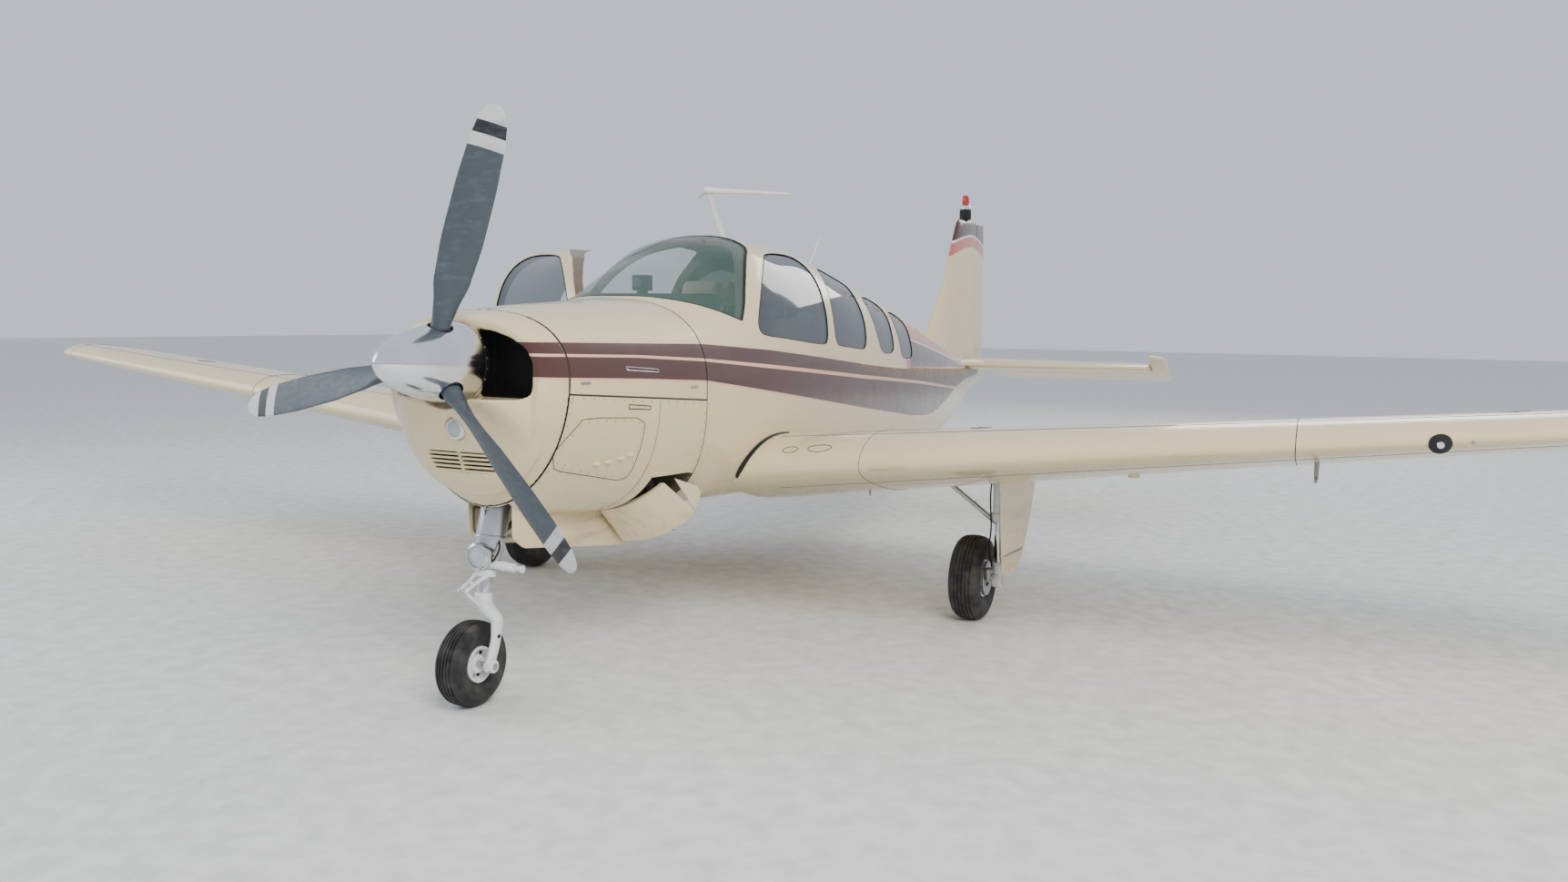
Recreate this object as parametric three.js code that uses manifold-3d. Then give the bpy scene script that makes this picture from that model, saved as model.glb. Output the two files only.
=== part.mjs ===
// A single-engine light aircraft: low wing, three-bladed propeller, retractable tricycle gear,
// one cabin door standing open on the starboard side and a pair of utility doors behind it.
// Millimetres. x runs to port, y aft from the propeller's plane, z up from the ground.

import * as THREE from 'three';
import { mergeVertices } from 'three/addons/utils/BufferGeometryUtils.js';
import Module from 'manifold-3d';

const wasm = await Module();
wasm.setup();

// Gaps: between pieces that rest on each other, round pieces that move, and at hinge barrels
const SEAT = 0.3;
const CLEAR = 7;
const BARREL_GAP = 0.5;
const BRACKET_GAP = 0.9;

// Overall
const SPINNER_TIP = -298;
const TAIL_END = 8010;
const MIDDLE = (SPINNER_TIP + TAIL_END) / 2;

// Fuselage walls and the places along it
const COWL_WALL = 15;
const CABIN_WALL = 45;
const CONE_WALL = 25;
const GLASS_INSET = 3;
const GLASS_THICK = 6;
const BOWL_REAR = 310;
const FIREWALL = 1250;
const FLOOR = 780;
const CABIN_REAR = 4900;
const CONE_REAR = 7500;
const CABIN_FRONT_INSIDE = FIREWALL + 50;
const CABIN_REAR_INSIDE = CABIN_REAR - 50;

// Fuselage sections: place along y, half width, heights of the bottom, the widest place and
// the top, and the powers of the lower and the upper half of the superellipse
const SECTIONS = [
  [175, 375, 1010, 1382, 1605, 2.0, 2.4],
  [200, 405, 950, 1380, 1628, 2.0, 2.4],
  [350, 440, 800, 1360, 1650, 1.9, 2.4],
  [600, 475, 750, 1340, 1672, 2.1, 2.4],
  [900, 510, 722, 1320, 1690, 2.4, 2.4],
  [1220, 545, 705, 1300, 1712, 2.8, 2.5],
  [1290, 549, 701, 1300, 1722, 2.8, 2.5],
  [1450, 562, 690, 1300, 1811, 3.0, 2.2],
  [1600, 570, 680, 1300, 1892, 3.0, 2.2],
  [1750, 576, 671, 1300, 1955, 3.0, 2.3],
  [1900, 581, 662, 1300, 2030, 3.0, 2.45],
  [2100, 584, 648, 1300, 2068, 3.0, 2.5],
  [2350, 585, 632, 1300, 2054, 3.0, 2.65],
  [2700, 580, 612, 1290, 2046, 3.0, 2.7],
  [3100, 567, 600, 1280, 1983, 3.0, 2.65],
  [3800, 530, 587, 1250, 1867, 2.9, 2.5],
  [4500, 475, 582, 1220, 1754, 2.8, 2.35],
  [5300, 390, 592, 1190, 1622, 2.6, 2.15],
  [6000, 305, 620, 1170, 1482, 2.4, 1.95],
  [6600, 225, 690, 1160, 1315, 2.2, 1.85],
  [7200, 140, 900, 1160, 1268, 2.0, 1.8],
  [7600, 95, 1010, 1160, 1262, 2.0, 1.8],
];
const RING_POINTS = 28;
const INNER_POINTS = 16;
const WHEEL_SIDES = 20;

// The chin under the inlets: the same columns
const CHIN = [
  [62, 200, 1262, 1318, 1332, 3.0, 6],
  [100, 268, 1180, 1320, 1333, 3.0, 6],
  [150, 322, 1072, 1322, 1334, 2.8, 6],
  [200, 360, 945, 1322, 1334, 2.5, 6],
  [245, 385, 878, 1322, 1334, 2.2, 6],
];

// Cowl seam between the lifting doors and the lower cowl: height at y = 188 and its fall
const SEAM_Y = 188;
const SEAM_Z = 1318;
const SEAM_FALL = 0.0754;
const SPINE_HALF = 18;

// Cabin windows, port side, as y, z outlines
const WINDOWS = [
  [[1791, 1597], [1838, 1671], [1906, 1759], [2002, 1850], [2103, 1918], [2190, 1960], [2250, 1974],
    [2382, 1985], [2487, 1987], [2569, 1983], [2635, 1968], [2668, 1940], [2684, 1900], [2686, 1827],
    [2670, 1740], [2662, 1640], [2648, 1555], [2632, 1500], [2590, 1479], [2404, 1490], [2090, 1517],
    [1835, 1536], [1796, 1556]],
  [[2784, 1478], [2757, 1514], [2756, 1570], [2760, 1633], [2770, 1696], [2794, 1767], [2828, 1831],
    [2868, 1883], [2939, 1925], [3060, 1928], [3222, 1904], [3370, 1872], [3470, 1846], [3416, 1804],
    [3390, 1757], [3376, 1704], [3370, 1643], [3357, 1575], [3335, 1507], [3307, 1455], [3259, 1439],
    [3163, 1444], [2981, 1457], [2834, 1467]],
  [[3590, 1500], [3566, 1600], [3562, 1700], [3575, 1740], [3620, 1766], [3720, 1773], [3870, 1762],
    [3990, 1740], [4050, 1716], [4064, 1690], [4056, 1658], [4028, 1615], [3991, 1561], [3962, 1470],
    [3938, 1425], [3900, 1405], [3796, 1398], [3680, 1408], [3625, 1435]],
  [[4122, 1430], [4120, 1500], [4128, 1578], [4155, 1640], [4205, 1674], [4300, 1682], [4440, 1668],
    [4550, 1640], [4585, 1610], [4553, 1556], [4499, 1487], [4462, 1400], [4435, 1368], [4390, 1353],
    [4200, 1356], [4145, 1376]],
];

// Windscreen: its base in plan as x, y and its rear edge from the side as y, z
const SCREEN_BASE = [[0, 1293], [130, 1301], [231, 1322], [322, 1366], [384, 1426], [439, 1502], [486, 1586],
  [514, 1660]];
const SCREEN_BACK = [[1672, 1612], [1742, 1688], [1815, 1782], [1903, 1878], [2000, 1946], [2071, 1982],
  [2112, 2008], [2137, 2049]];

// Doors: outlines from the side as y, z, hinge posts and how far the cabin door stands open
const CABIN_DOOR = [[1752, 1110], [2688, 1110], [2716, 1140], [2716, 1800], [2706, 1940], [2650, 2000],
  [2520, 2018], [2220, 2012], [2060, 1955], [1955, 1878], [1862, 1782], [1790, 1690], [1752, 1625]];
const CABIN_DOOR_OPEN = 65;
const UTILITY_FRONT = [[3510, 767], [3533, 745], [4035, 745], [4035, 1440], [4062, 1585], [4116, 1680],
  [4110, 1722], [4070, 1760], [3700, 1808], [3540, 1802], [3510, 1775]];
const UTILITY_REAR = [[4054, 745], [4680, 745], [4702, 767], [4702, 1610], [4672, 1652], [4640, 1666],
  [4134, 1722], [4133, 1675], [4080, 1581], [4054, 1437]];
const DOOR_LIP = 16;
const DOOR_GAP = 10;
const BARREL_RADIUS = 9.5;
const KNUCKLE = 20;
const DOORS = [
  { name: 'cabin_door', outline: CABIN_DOOR, window: 0, hingeY: 1745, toward: 1, open: CABIN_DOOR_OPEN,
    heights: [1180, 1420], rebate: 0 },
  { name: 'utility_door_front', outline: UTILITY_FRONT, window: 2, hingeY: 3502, toward: 1, open: 0,
    heights: [1120, 1330], rebate: 22 },
  { name: 'utility_door_rear', outline: UTILITY_REAR, window: 3, hingeY: 4710, toward: -1, open: 0,
    heights: [1100, 1240], rebate: 22 },
];

// Wing
const WING = {
  rootX: 380, tipX: 5020, rootChord: 2130, tipChord: 1080, quarterY: 2200,
  quarterX: 550, quarterZ: 802, dihedral: 6.2, rootPitch: 7.5, tipPitch: 4.6,
  rootThick: 0.165, tipThick: 0.12,
};
const FLAP = { inner: 610, outer: 2558, from: 0.745 };
const AILERON = { inner: 2574, outer: 4860, from: 0.765 };
const CONTROL_END_GAP = 9;
const TIP_RINGS = [[5060, 0.985, 0.9], [5090, 0.95, 0.62], [5105, 0.88, 0.22]];

// Tailplane and fin: leading and trailing edges at the root and the tip
const TAILPLANE = {
  rootX: 40, tipX: 1855, z: 1222, rootLead: 6890, tipLead: 7240, rootTrail: 7960, tipTrail: 7900,
  hinge: 7520, hornX: 1722, thick: 0.1, droop: 20,
};
const FIN = {
  baseZ: 1180, topZ: 2560, hingeBase: 7530, hingeTop: 7600, trailBase: 8010, trailTop: 7925, thick: 0.09,
};
const FIN_LEADS = [[1180, 5960], [1440, 6140], [1573, 6300], [1879, 6610], [2300, 6885], [2480, 7000]];

// Propeller: radius, chord, thickness and blade angle of each section
const PROP_HUB_Z = 1437;
const PROP_TILT = 1.44;
const PROP_TURN = 17.93;
const BLADE = [
  [72, 76, 76, 62], [165, 76, 76, 62], [235, 98, 52, 52], [330, 138, 34, 42], [500, 160, 22, 32],
  [700, 160, 16, 26], [860, 146, 12, 22], [960, 118, 9, 20], [1004, 72, 6, 19], [1016, 30, 5, 19],
];
const SPINNER = [[0, -298], [22, -292], [52, -266], [84, -214], [112, -150], [136, -74], [152, 6],
  [162, 80], [166, 150], [0, 150]];
const SPINNER_BACK = 150;

// Landing gear
const NOSE_WHEEL = { y: 212, z: 179.5, radius: 179.5, width: 130, rim: 76 };
const MAIN_WHEEL = { x: 1470, y: 2606, z: 231, radius: 231, width: 176, rim: 102 };
const LEG_TOP = [0, 383, 905];
const LEG_FOOT = [0, 262, 290];
// Nose gear door, as y, z points
const NOSE_DOOR = [[345, 842], [345, 690], [420, 640], [1000, 552], [1235, 520], [1215, 722], [900, 745],
  [600, 785]];
// Main gear door, which stands a little askew: height, then x and y of its front and rear edges
const GEAR_DOOR = [[300, 1683, 2400, 1711, 2600], [420, 1683, 2365, 1725, 2680],
  [600, 1683, 2325, 1732, 2780], [760, 1681, 2300, 1736, 2850], [850, 1678, 2300, 1745, 2850]];

// Colours and finishes
const PAINT = { color: 0xd8c39a, roughness: 0.32, metalness: 0 };
const FINISHES = {
  paint: PAINT,
  metal: { color: 0xc8ccd2, roughness: 0.25, metalness: 1 },
  blade: { color: 0x4a4f54, roughness: 0.5, metalness: 0.1 },
  iron: { color: 0x5c5a57, roughness: 0.6, metalness: 0.8 },
  white: { color: 0xdedfe0, roughness: 0.35, metalness: 0 },
  tyre: { color: 0x1b1b1c, roughness: 0.85, metalness: 0 },
  glass: { color: 0x6d8c8c, roughness: 0.05, metalness: 0 },
  leather: { color: 0xcdb892, roughness: 0.6, metalness: 0 },
  trim: { color: 0x2a2a2c, roughness: 0.7, metalness: 0 },
  lamp: { color: 0x9c1c1c, roughness: 0.15, metalness: 0 },
};

const aircraft = new THREE.Group();
aircraft.position.y = -MIDDLE;

const radians = THREE.MathUtils.degToRad;

// Closed solids from geometries, joined and cut

function toSolid(geometry) {
  const plain = geometry.clone();
  plain.deleteAttribute('normal');
  plain.deleteAttribute('uv');
  const merged = mergeVertices(plain, 1e-4);
  return new wasm.Manifold(new wasm.Mesh({
    numProp: 3,
    vertProperties: new Float32Array(merged.attributes.position.array),
    triVerts: new Uint32Array(merged.index.array),
  }));
}

function toGeometry(solid) {
  const mesh = solid.getMesh();
  const geometry = new THREE.BufferGeometry();
  geometry.setAttribute('position', new THREE.BufferAttribute(mesh.vertProperties, 3));
  geometry.setIndex(new THREE.BufferAttribute(mesh.triVerts, 1));
  return geometry;
}

function join(first, ...others) {
  return toGeometry(others.reduce((sum, each) => sum.add(toSolid(each)), toSolid(first)));
}

function cut(first, ...others) {
  return toGeometry(others.reduce((rest, each) => rest.subtract(toSolid(each)), toSolid(first)));
}

function common(first, ...others) {
  return toGeometry(others.reduce((rest, each) => rest.intersect(toSolid(each)), toSolid(first)));
}

/** The same geometry on the other side of the plane x = 0. */
function mirrored(geometry) {
  const twin = geometry.clone();
  const places = twin.attributes.position;
  for (let i = 0; i < places.count; i += 1) places.setX(i, -places.getX(i));
  const order = Array.from(twin.index.array);
  for (let i = 0; i < order.length; i += 3) [order[i], order[i + 1]] = [order[i + 1], order[i]];
  twin.setIndex(order);
  return twin;
}

/** A geometry and its mirror image, whose triangles may divide a curved skin the other way. */
function withTwin(geometry) {
  return [geometry, mirrored(geometry)];
}

/** A closed skin over rings of equal length, its ends filled to their centres. */
function loft(rings) {
  const count = rings[0].length;
  const points = rings.flat();
  const faces = [];
  for (let i = 0; i < rings.length - 1; i += 1) {
    for (let k = 0; k < count; k += 1) {
      const a = i * count + k;
      const b = i * count + ((k + 1) % count);
      faces.push([a, b, a + count], [b, b + count, a + count]);
    }
  }
  [0, rings.length - 1].forEach((i) => {
    const centre = [0, 1, 2].map((axis) => rings[i].reduce((sum, p) => sum + p[axis], 0) / count);
    points.push(centre);
    for (let k = 0; k < count; k += 1) {
      const a = i * count + k;
      const b = i * count + ((k + 1) % count);
      faces.push(i === 0 ? [b, a, points.length - 1] : [a, b, points.length - 1]);
    }
  });
  const volume = faces.reduce((sum, [a, b, c]) => {
    const [p, q, r] = [points[a], points[b], points[c]].map((each) => new THREE.Vector3(...each));
    return sum + p.dot(q.cross(r));
  }, 0);
  if (volume < 0) faces.forEach((face) => face.reverse());
  const geometry = new THREE.BufferGeometry();
  geometry.setAttribute('position', new THREE.Float32BufferAttribute(points.flat(), 3));
  geometry.setIndex(faces.flat());
  return geometry;
}

function box(x0, x1, y0, y1, z0, z1) {
  const geometry = new THREE.BoxGeometry(x1 - x0, y1 - y0, z1 - z0);
  return geometry.translate((x0 + x1) / 2, (y0 + y1) / 2, (z0 + z1) / 2);
}

/** A round bar from one point to another, tapered if it has two radii. */
function bar(from, to, radius, endRadius = radius, sides = 8) {
  const start = new THREE.Vector3(...from);
  const along = new THREE.Vector3(...to).sub(start);
  const geometry = new THREE.CylinderGeometry(endRadius, radius, along.length(), sides);
  geometry.translate(0, along.length() / 2, 0);
  const turn = new THREE.Quaternion().setFromUnitVectors(new THREE.Vector3(0, 1, 0), along.normalize());
  return geometry.applyQuaternion(turn).translate(...from);
}

function extrude(outline, depth) {
  const shape = new THREE.Shape(outline.map(([u, v]) => new THREE.Vector2(u, v)));
  return new THREE.ExtrudeGeometry(shape, { depth, bevelEnabled: false });
}

/** An outline of y, z points, carried along x. */
function prismX(outline, x0, x1) {
  const turn = new THREE.Matrix4().makeBasis(
    new THREE.Vector3(0, 1, 0), new THREE.Vector3(0, 0, 1), new THREE.Vector3(1, 0, 0));
  return extrude(outline, x1 - x0).applyMatrix4(turn).translate(x0, 0, 0);
}

/** An outline of z, x points, carried along y. */
function prismY(outline, y0, y1) {
  const turn = new THREE.Matrix4().makeBasis(
    new THREE.Vector3(0, 0, 1), new THREE.Vector3(1, 0, 0), new THREE.Vector3(0, 1, 0));
  return extrude(outline, y1 - y0).applyMatrix4(turn).translate(0, y0, 0);
}

/** An outline of x, y points, carried along z. */
function prismZ(outline, z0, z1) {
  return extrude(outline, z1 - z0).translate(0, 0, z0);
}

/** The outline drawn in (or out, if negative) by a distance, for edges that are nearly smooth. */
function inset(outline, distance) {
  const count = outline.length;
  const area = outline.reduce((sum, [u, v], i) => {
    const [p, q] = outline[(i + 1) % count];
    return sum + u * q - p * v;
  }, 0);
  const side = Math.sign(area) * distance;
  return outline.map(([u, v], i) => {
    const [pu, pv] = outline[(i + count - 1) % count];
    const [nu, nv] = outline[(i + 1) % count];
    const before = new THREE.Vector2(u - pu, v - pv).normalize();
    const after = new THREE.Vector2(nu - u, nv - v).normalize();
    const middle = before.clone().add(after).normalize();
    const reach = side / Math.max(0.5, middle.dot(before));
    return [u - middle.y * reach, v + middle.x * reach];
  });
}

function add(name, geometry, finish, parent = aircraft) {
  const mesh = new THREE.Mesh(geometry, new THREE.MeshStandardMaterial(FINISHES[finish]));
  mesh.name = name;
  parent.add(mesh);
  return mesh;
}

/** A group that holds pieces drawn in the aircraft's own place, turned about a line. */
function turned(pivot, axis, degrees) {
  const hinge = new THREE.Group();
  hinge.position.set(...pivot);
  hinge.setRotationFromAxisAngle(new THREE.Vector3(...axis).normalize(), radians(degrees));
  const inner = new THREE.Group();
  inner.position.set(-pivot[0], -pivot[1], -pivot[2]);
  hinge.add(inner);
  aircraft.add(hinge);
  return inner;
}

// Fuselage surface

/** A row of the sections at any place, on a smooth curve through the table. */
function rowAt(table, y) {
  const last = table.length - 1;
  const i = Math.min(last - 1, Math.max(0, table.findIndex((row) => row[0] > y) - 1));
  const at = y >= table[last][0] ? last - 1 : i;
  const [a, b] = [table[at], table[at + 1]];
  const before = table[Math.max(0, at - 1)];
  const after = table[Math.min(last, at + 2)];
  const width = b[0] - a[0];
  const t = (y - a[0]) / width;
  return a.map((value, column) => {
    if (column === 0) return y;
    const leave = ((b[column] - before[column]) / (b[0] - before[0])) * width;
    const reach = ((after[column] - value) / (after[0] - a[0])) * width;
    const rise = b[column] - value;
    return value + t * leave + t * t * (3 * rise - 2 * leave - reach) + t ** 3 * (leave + reach - 2 * rise);
  });
}

function ring([y, half, bottom, widest, top, lower, upper], draw, count = RING_POINTS) {
  return Array.from({ length: count }, (_, k) => {
    const angle = (2 * Math.PI * k) / count;
    const [c, s] = [Math.cos(angle), Math.sin(angle)];
    const power = s >= 0 ? upper : lower;
    const height = s >= 0 ? top - widest - draw : widest - bottom - draw;
    const x = (half - draw) * Math.sign(c) * Math.abs(c) ** (2 / power);
    return [x, y, widest + height * Math.sign(s) * Math.abs(s) ** (2 / power)];
  });
}

/** The fuselage between two places, drawn in by a distance. */
function body(from, to, draw = 0, count = RING_POINTS) {
  const stops = SECTIONS.slice(1).flatMap((row, i) => {
    const start = SECTIONS[i][0];
    return row[0] - start > 450 ? [start, (start + row[0]) / 2] : [start];
  });
  const places = [from, ...stops.filter((y) => y > from + 1 && y < to - 1), to];
  return loft(places.map((y) => ring(rowAt(SECTIONS, y), draw, count)));
}

const FAR = 900;
const HIGH = 3000;
const cabinOuter = body(FIREWALL, CABIN_REAR);
const cabinCore = body(FIREWALL, CABIN_REAR, CABIN_WALL, INNER_POINTS);
const cabinInner = common(cabinCore,
  box(-FAR, FAR, CABIN_FRONT_INSIDE, CABIN_REAR_INSIDE, FLOOR, HIGH));
const glassLayer = cut(body(FIREWALL, CABIN_REAR, GLASS_INSET), body(FIREWALL - 20, CABIN_REAR + 20,
  GLASS_INSET + GLASS_THICK));

/** The windscreen's opening: behind its base in plan and ahead of its rear edge from the side. */
function screenSpace(draw) {
  const port = SCREEN_BASE.map(([x, y]) => [x, y + draw]);
  const starboard = port.slice(1).reverse().map(([x, y]) => [-x, y]);
  const plan = [...starboard, ...port, [FAR, SCREEN_BASE.at(-1)[1] + draw], [FAR, 2400], [-FAR, 2400],
    [-FAR, SCREEN_BASE.at(-1)[1] + draw]];
  const back = SCREEN_BACK.map(([y, z]) => [y - draw, z + draw]);
  const profile = [[FIREWALL - 100, back[0][1]], ...back, [back.at(-1)[0], HIGH], [FIREWALL - 100, HIGH]];
  return common(prismZ(plan, FLOOR, HIGH), prismX(profile, -FAR, FAR));
}

// Engine bay

function cowlAbove(lift) {
  const height = (y) => SEAM_Z + lift - (y - SEAM_Y) * SEAM_FALL;
  return prismX([[0, height(0)], [2000, height(2000)], [2000, HIGH], [0, HIGH]], -FAR, FAR);
}

/** The cowl's skin from a place to the firewall. */
function cowlSkin(from) {
  return cut(body(from, FIREWALL - SEAT), body(from - 20, FIREWALL + 20, COWL_WALL));
}

function addCowl() {
  const shell = cowlSkin(BOWL_REAR + SEAT);
  const wellHalf = 118;
  const wellWall = 14;
  const wellTop = 930;
  const flapFront = 962;
  const flapRear = 1236;
  const flapInner = wellHalf + wellWall + CLEAR;
  const flapOuter = 470;
  const sides = [1, -1];

  let lower = cut(shell, cowlAbove(0));
  sides.forEach((side) => {
    const [near, far] = [side * wellHalf, side * (wellHalf + wellWall)].sort((a, b) => a - b);
    const wall = common(box(near, far, BOWL_REAR + 20, FIREWALL - SEAT, 600, wellTop),
      body(BOWL_REAR + SEAT, FIREWALL - SEAT));
    lower = join(lower, wall);
  });
  const well = box(-wellHalf, wellHalf, BOWL_REAR + 8, FIREWALL - 8, 600, wellTop);
  lower = cut(lower, well);

  const flapSpace = box(flapInner, flapOuter, flapFront, FIREWALL + 1, 600, 900);
  lower = cut(lower, flapSpace, mirrored(toGeometry(toSolid(flapSpace))));
  add('lower_cowl', lower, 'paint');

  const flap = common(shell, box(flapInner + SEAT, flapOuter - SEAT, flapFront + 9, flapRear, 600, 900));
  sides.forEach((side) => {
    const hinge = turned([0, flapFront + 4, 738], [1, 0, 0], -38);
    add(side > 0 ? 'left_cowl_flap' : 'right_cowl_flap', side > 0 ? flap : mirrored(flap), 'paint', hinge);
  });

  const half = box(SPINE_HALF + CLEAR + 2, FAR, BOWL_REAR + CLEAR, FIREWALL - CLEAR, 600, HIGH);
  const topFront = rowAt(SECTIONS, BOWL_REAR + CLEAR)[4];
  const topRear = rowAt(SECTIONS, FIREWALL - CLEAR)[4];
  const barrelX = SPINE_HALF + 4.5 + BARREL_GAP;
  const barrel = bar([barrelX, BOWL_REAR + CLEAR, topFront], [barrelX, FIREWALL - CLEAR, topRear], 4.5, 4.5, 8);
  const door = join(common(shell, cowlAbove(CLEAR), half), barrel);
  add('left_cowl_door', door, 'paint');
  add('right_cowl_door', mirrored(door), 'paint');
}

/** A point on the propeller shaft, which is tilted nose up. */
function shaftAt(y) {
  return [0, y, PROP_HUB_Z - y * Math.tan(radians(PROP_TILT))];
}

function addNose() {
  const spine = common(cowlSkin(BOWL_REAR - 20), box(-SPINE_HALF, SPINE_HALF, 0, FIREWALL, 1500, HIGH));
  const lip = body(175, BOWL_REAR);
  const chin = loft(CHIN.map((row) => ring(row, 0)));
  const inletOutline = [[1296, 70], [1296, 318], [1322, 346], [1440, 350], [1492, 322], [1535, 250],
    [1562, 160], [1572, 70]];
  const inlet = prismY(inletOutline, -60, BOWL_REAR + 20);
  const inletTwin = mirrored(toGeometry(toSolid(inlet)));
  const spinnerSpace = bar(shaftAt(-120), shaftAt(SPINNER_BACK + 14), 184, 184, 32);
  const shaftSpace = bar(shaftAt(0), shaftAt(BOWL_REAR + 20), 78, 78, 16);
  const grille = [[988, -150], [988, 150], [1071, 165], [1071, -165]];
  const slats = Array.from({ length: 5 }, (_, i) => box(-175, 175, 0, 260, 985 + i * 18, 993 + i * 18));
  const lampSpace = bar([20, 0, 1171], [20, 230, 1171], 46, 46, 16);
  const lamp = bar([20, 122, 1171], [20, 235, 1171], 43, 43, 16);
  const shape = cut(join(lip, chin), inlet, inletTwin, spinnerSpace, shaftSpace);
  let bowl = cut(shape, cut(prismY(grille, 0, 232), ...slats), lampSpace);
  bowl = join(bowl, lamp, spine);
  add('nose_bowl', bowl, 'paint');
}

function addEngine() {
  const block = box(-310, 310, 400, 1180, 1020, 1540);
  const shaft = bar(shaftAt(SPINNER_BACK + BARREL_GAP), shaftAt(420), 55, 60, 16);
  const mounts = [[-210, 1080], [210, 1080], [-210, 1430], [210, 1430]].map(([x, z]) => (
    bar([x, 1170, z], [x, FIREWALL - SEAT, z], 26)));
  const pipes = [1, -1].flatMap((side) => [
    bar([side * 290, 1050, 1060], [side * 320, 1135, 749], 26),
    bar([side * 320, 1128, 756], [side * 320, 1312, 612], 26),
  ]);
  add('engine_block', join(block, shaft, ...mounts, ...pipes), 'iron');
}

// Cabin

/** An outline drawn in by a distance and carried through the wall on one side of the cabin. */
function side(outline, sign, draw = 0) {
  return sign > 0 ? prismX(inset(outline, draw), 150, FAR) : prismX(inset(outline, draw), -FAR, -150);
}

/** A glass pane that fills an outline on one side, just clear of its frame. */
function pane(outline, sign) {
  return common(glassLayer, side(outline, sign, SEAT + 0.1));
}

/** The x of a door's hinge line, just outside the skin. */
function hingeX({ hingeY }) {
  return -rowAt(SECTIONS, hingeY)[1] - BARREL_RADIUS - BARREL_GAP;
}

/** A hinge barrel between two heights with a leaf on one side that starts at a distance from it. */
function knuckle(door, low, high, leafSide, start) {
  const x = hingeX(door);
  const [near, far] = [start, 34].map((reach) => door.hingeY + leafSide * reach).sort((a, b) => a - b);
  return [bar([x, door.hingeY, low], [x, door.hingeY, high], BARREL_RADIUS, BARREL_RADIUS, 12),
    box(x - 5, x + 22, near, far, low, high)];
}

function addCabin() {
  const wall = cut(cabinOuter, cabinInner);
  const behindDoors = body(FIREWALL - 20, CABIN_REAR + 20, CABIN_WALL + DOOR_GAP, INNER_POINTS);
  const doorways = DOORS.map(({ outline }) => cut(side(outline, -1, -DOOR_GAP), behindDoors));
  const shell = cut(wall, screenSpace(0), ...WINDOWS.map((outline) => side(outline, 1)),
    side(WINDOWS[1], -1), ...doorways);
  const fixed = DOORS.flatMap((door) => door.heights.flatMap((z) => (
    knuckle(door, z + 30 + SEAT, z + 30 + KNUCKLE, -door.toward, 4))));
  add('cabin_shell', join(shell, ...fixed), 'paint');
  add('windshield', common(glassLayer, screenSpace(SEAT + 0.1)), 'glass');
  WINDOWS.forEach((outline, i) => add(`left_window_${i + 1}`, pane(outline, 1), 'glass'));
  add('right_window_2', pane(WINDOWS[1], -1), 'glass');

  DOORS.forEach((door) => {
    const knuckles = door.heights.flatMap((z) => knuckle(door, z - 30, z + 30, door.toward, 9));
    const windowHole = side(WINDOWS[door.window], -1);
    const step = cut(body(FIREWALL - 20, CABIN_REAR + 20, DOOR_LIP), side(door.outline, -1, door.rebate));
    const panel = cut(common(cabinOuter, side(door.outline, -1)), cabinCore, windowHole, step);
    const group = turned([hingeX(door), door.hingeY, 0], [0, 0, 1], door.open);
    add(door.name, join(panel, ...knuckles), 'paint', group);
    add(`${door.name}_window`, pane(WINDOWS[door.window], -1), 'glass', group);
  });

  const deck = [[1312, 1560], [1312, 1640], [1420, 1668], [1560, 1672], [1606, 1655], [1600, 1622], [1566, 1600],
    [1560, 1180], [1528, 1180], [1520, 1590]];
  const insideSpace = common(body(FIREWALL, CABIN_REAR, CABIN_WALL + 0.5, INNER_POINTS),
    box(-FAR, FAR, CABIN_FRONT_INSIDE + SEAT, CABIN_REAR_INSIDE, FLOOR, HIGH));
  add('instrument_panel', common(prismX(deck, -FAR, FAR), insideSpace), 'trim');
}

// Seats: an outline of y, z points for one that faces forward, with its hinge near y = 0; its back
// and headrest can be raised along the way that the back leans
const SEAT_LEAN = 0.25;
const TALL_BACK = 150;
const LOW_BACK = -90;

function seatOutline(rise) {
  const up = (u, v) => [u + SEAT_LEAN * rise, v + rise];
  return [[-520, 0], [-60, 0], [-20, 60], up(167, 730), up(194, 912), up(92, 922), up(74, 750), up(22, 722),
    [-70, 290], [-500, 330], [-540, 300]];
}

function addSeats() {
  const room = body(FIREWALL, CABIN_REAR, CABIN_WALL + 12, INNER_POINTS);
  const seat = (x0, x1, y, facing, rise) => {
    const outline = seatOutline(rise).map(([u, v]) => [y + facing * u, FLOOR + SEAT + v]);
    return common(prismX(outline, x0, x1), room);
  };
  add('front_left_seat', seat(40, 470, 2480, 1, TALL_BACK), 'leather');
  add('front_right_seat', seat(-470, -40, 2480, 1, TALL_BACK), 'leather');
  const pairs = [
    ['middle_seats', 2975, -1, 2955, 3350, TALL_BACK],
    ['rear_seats', 4290, 1, 3890, 4270, LOW_BACK],
  ];
  pairs.forEach(([name, y, facing, y0, y1, rise]) => {
    const base = box(-30, 30, y0, y1, FLOOR + SEAT, FLOOR + 200);
    add(name, join(seat(25, 430, y, facing, rise), seat(-430, -25, y, facing, rise), base), 'leather');
  });
}

// Wing and tail surfaces

function camber(a) {
  const m = 0.2025;
  const k = 15.957 / 6;
  return a < m ? k * (a ** 3 - 3 * m * a * a + m * m * (3 - m) * a) : k * m ** 3 * (1 - a);
}

function halfThickness(a) {
  return 5 * (0.2969 * Math.sqrt(a) - 0.126 * a - 0.3516 * a * a + 0.2843 * a ** 3 - 0.1015 * a ** 4);
}

const FOIL_STEPS = 10;
const FOIL_PLACES = Array.from({ length: FOIL_STEPS + 1 }, (_, k) => (
  (1 - Math.cos((Math.PI * k) / FOIL_STEPS)) / 2));

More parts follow.
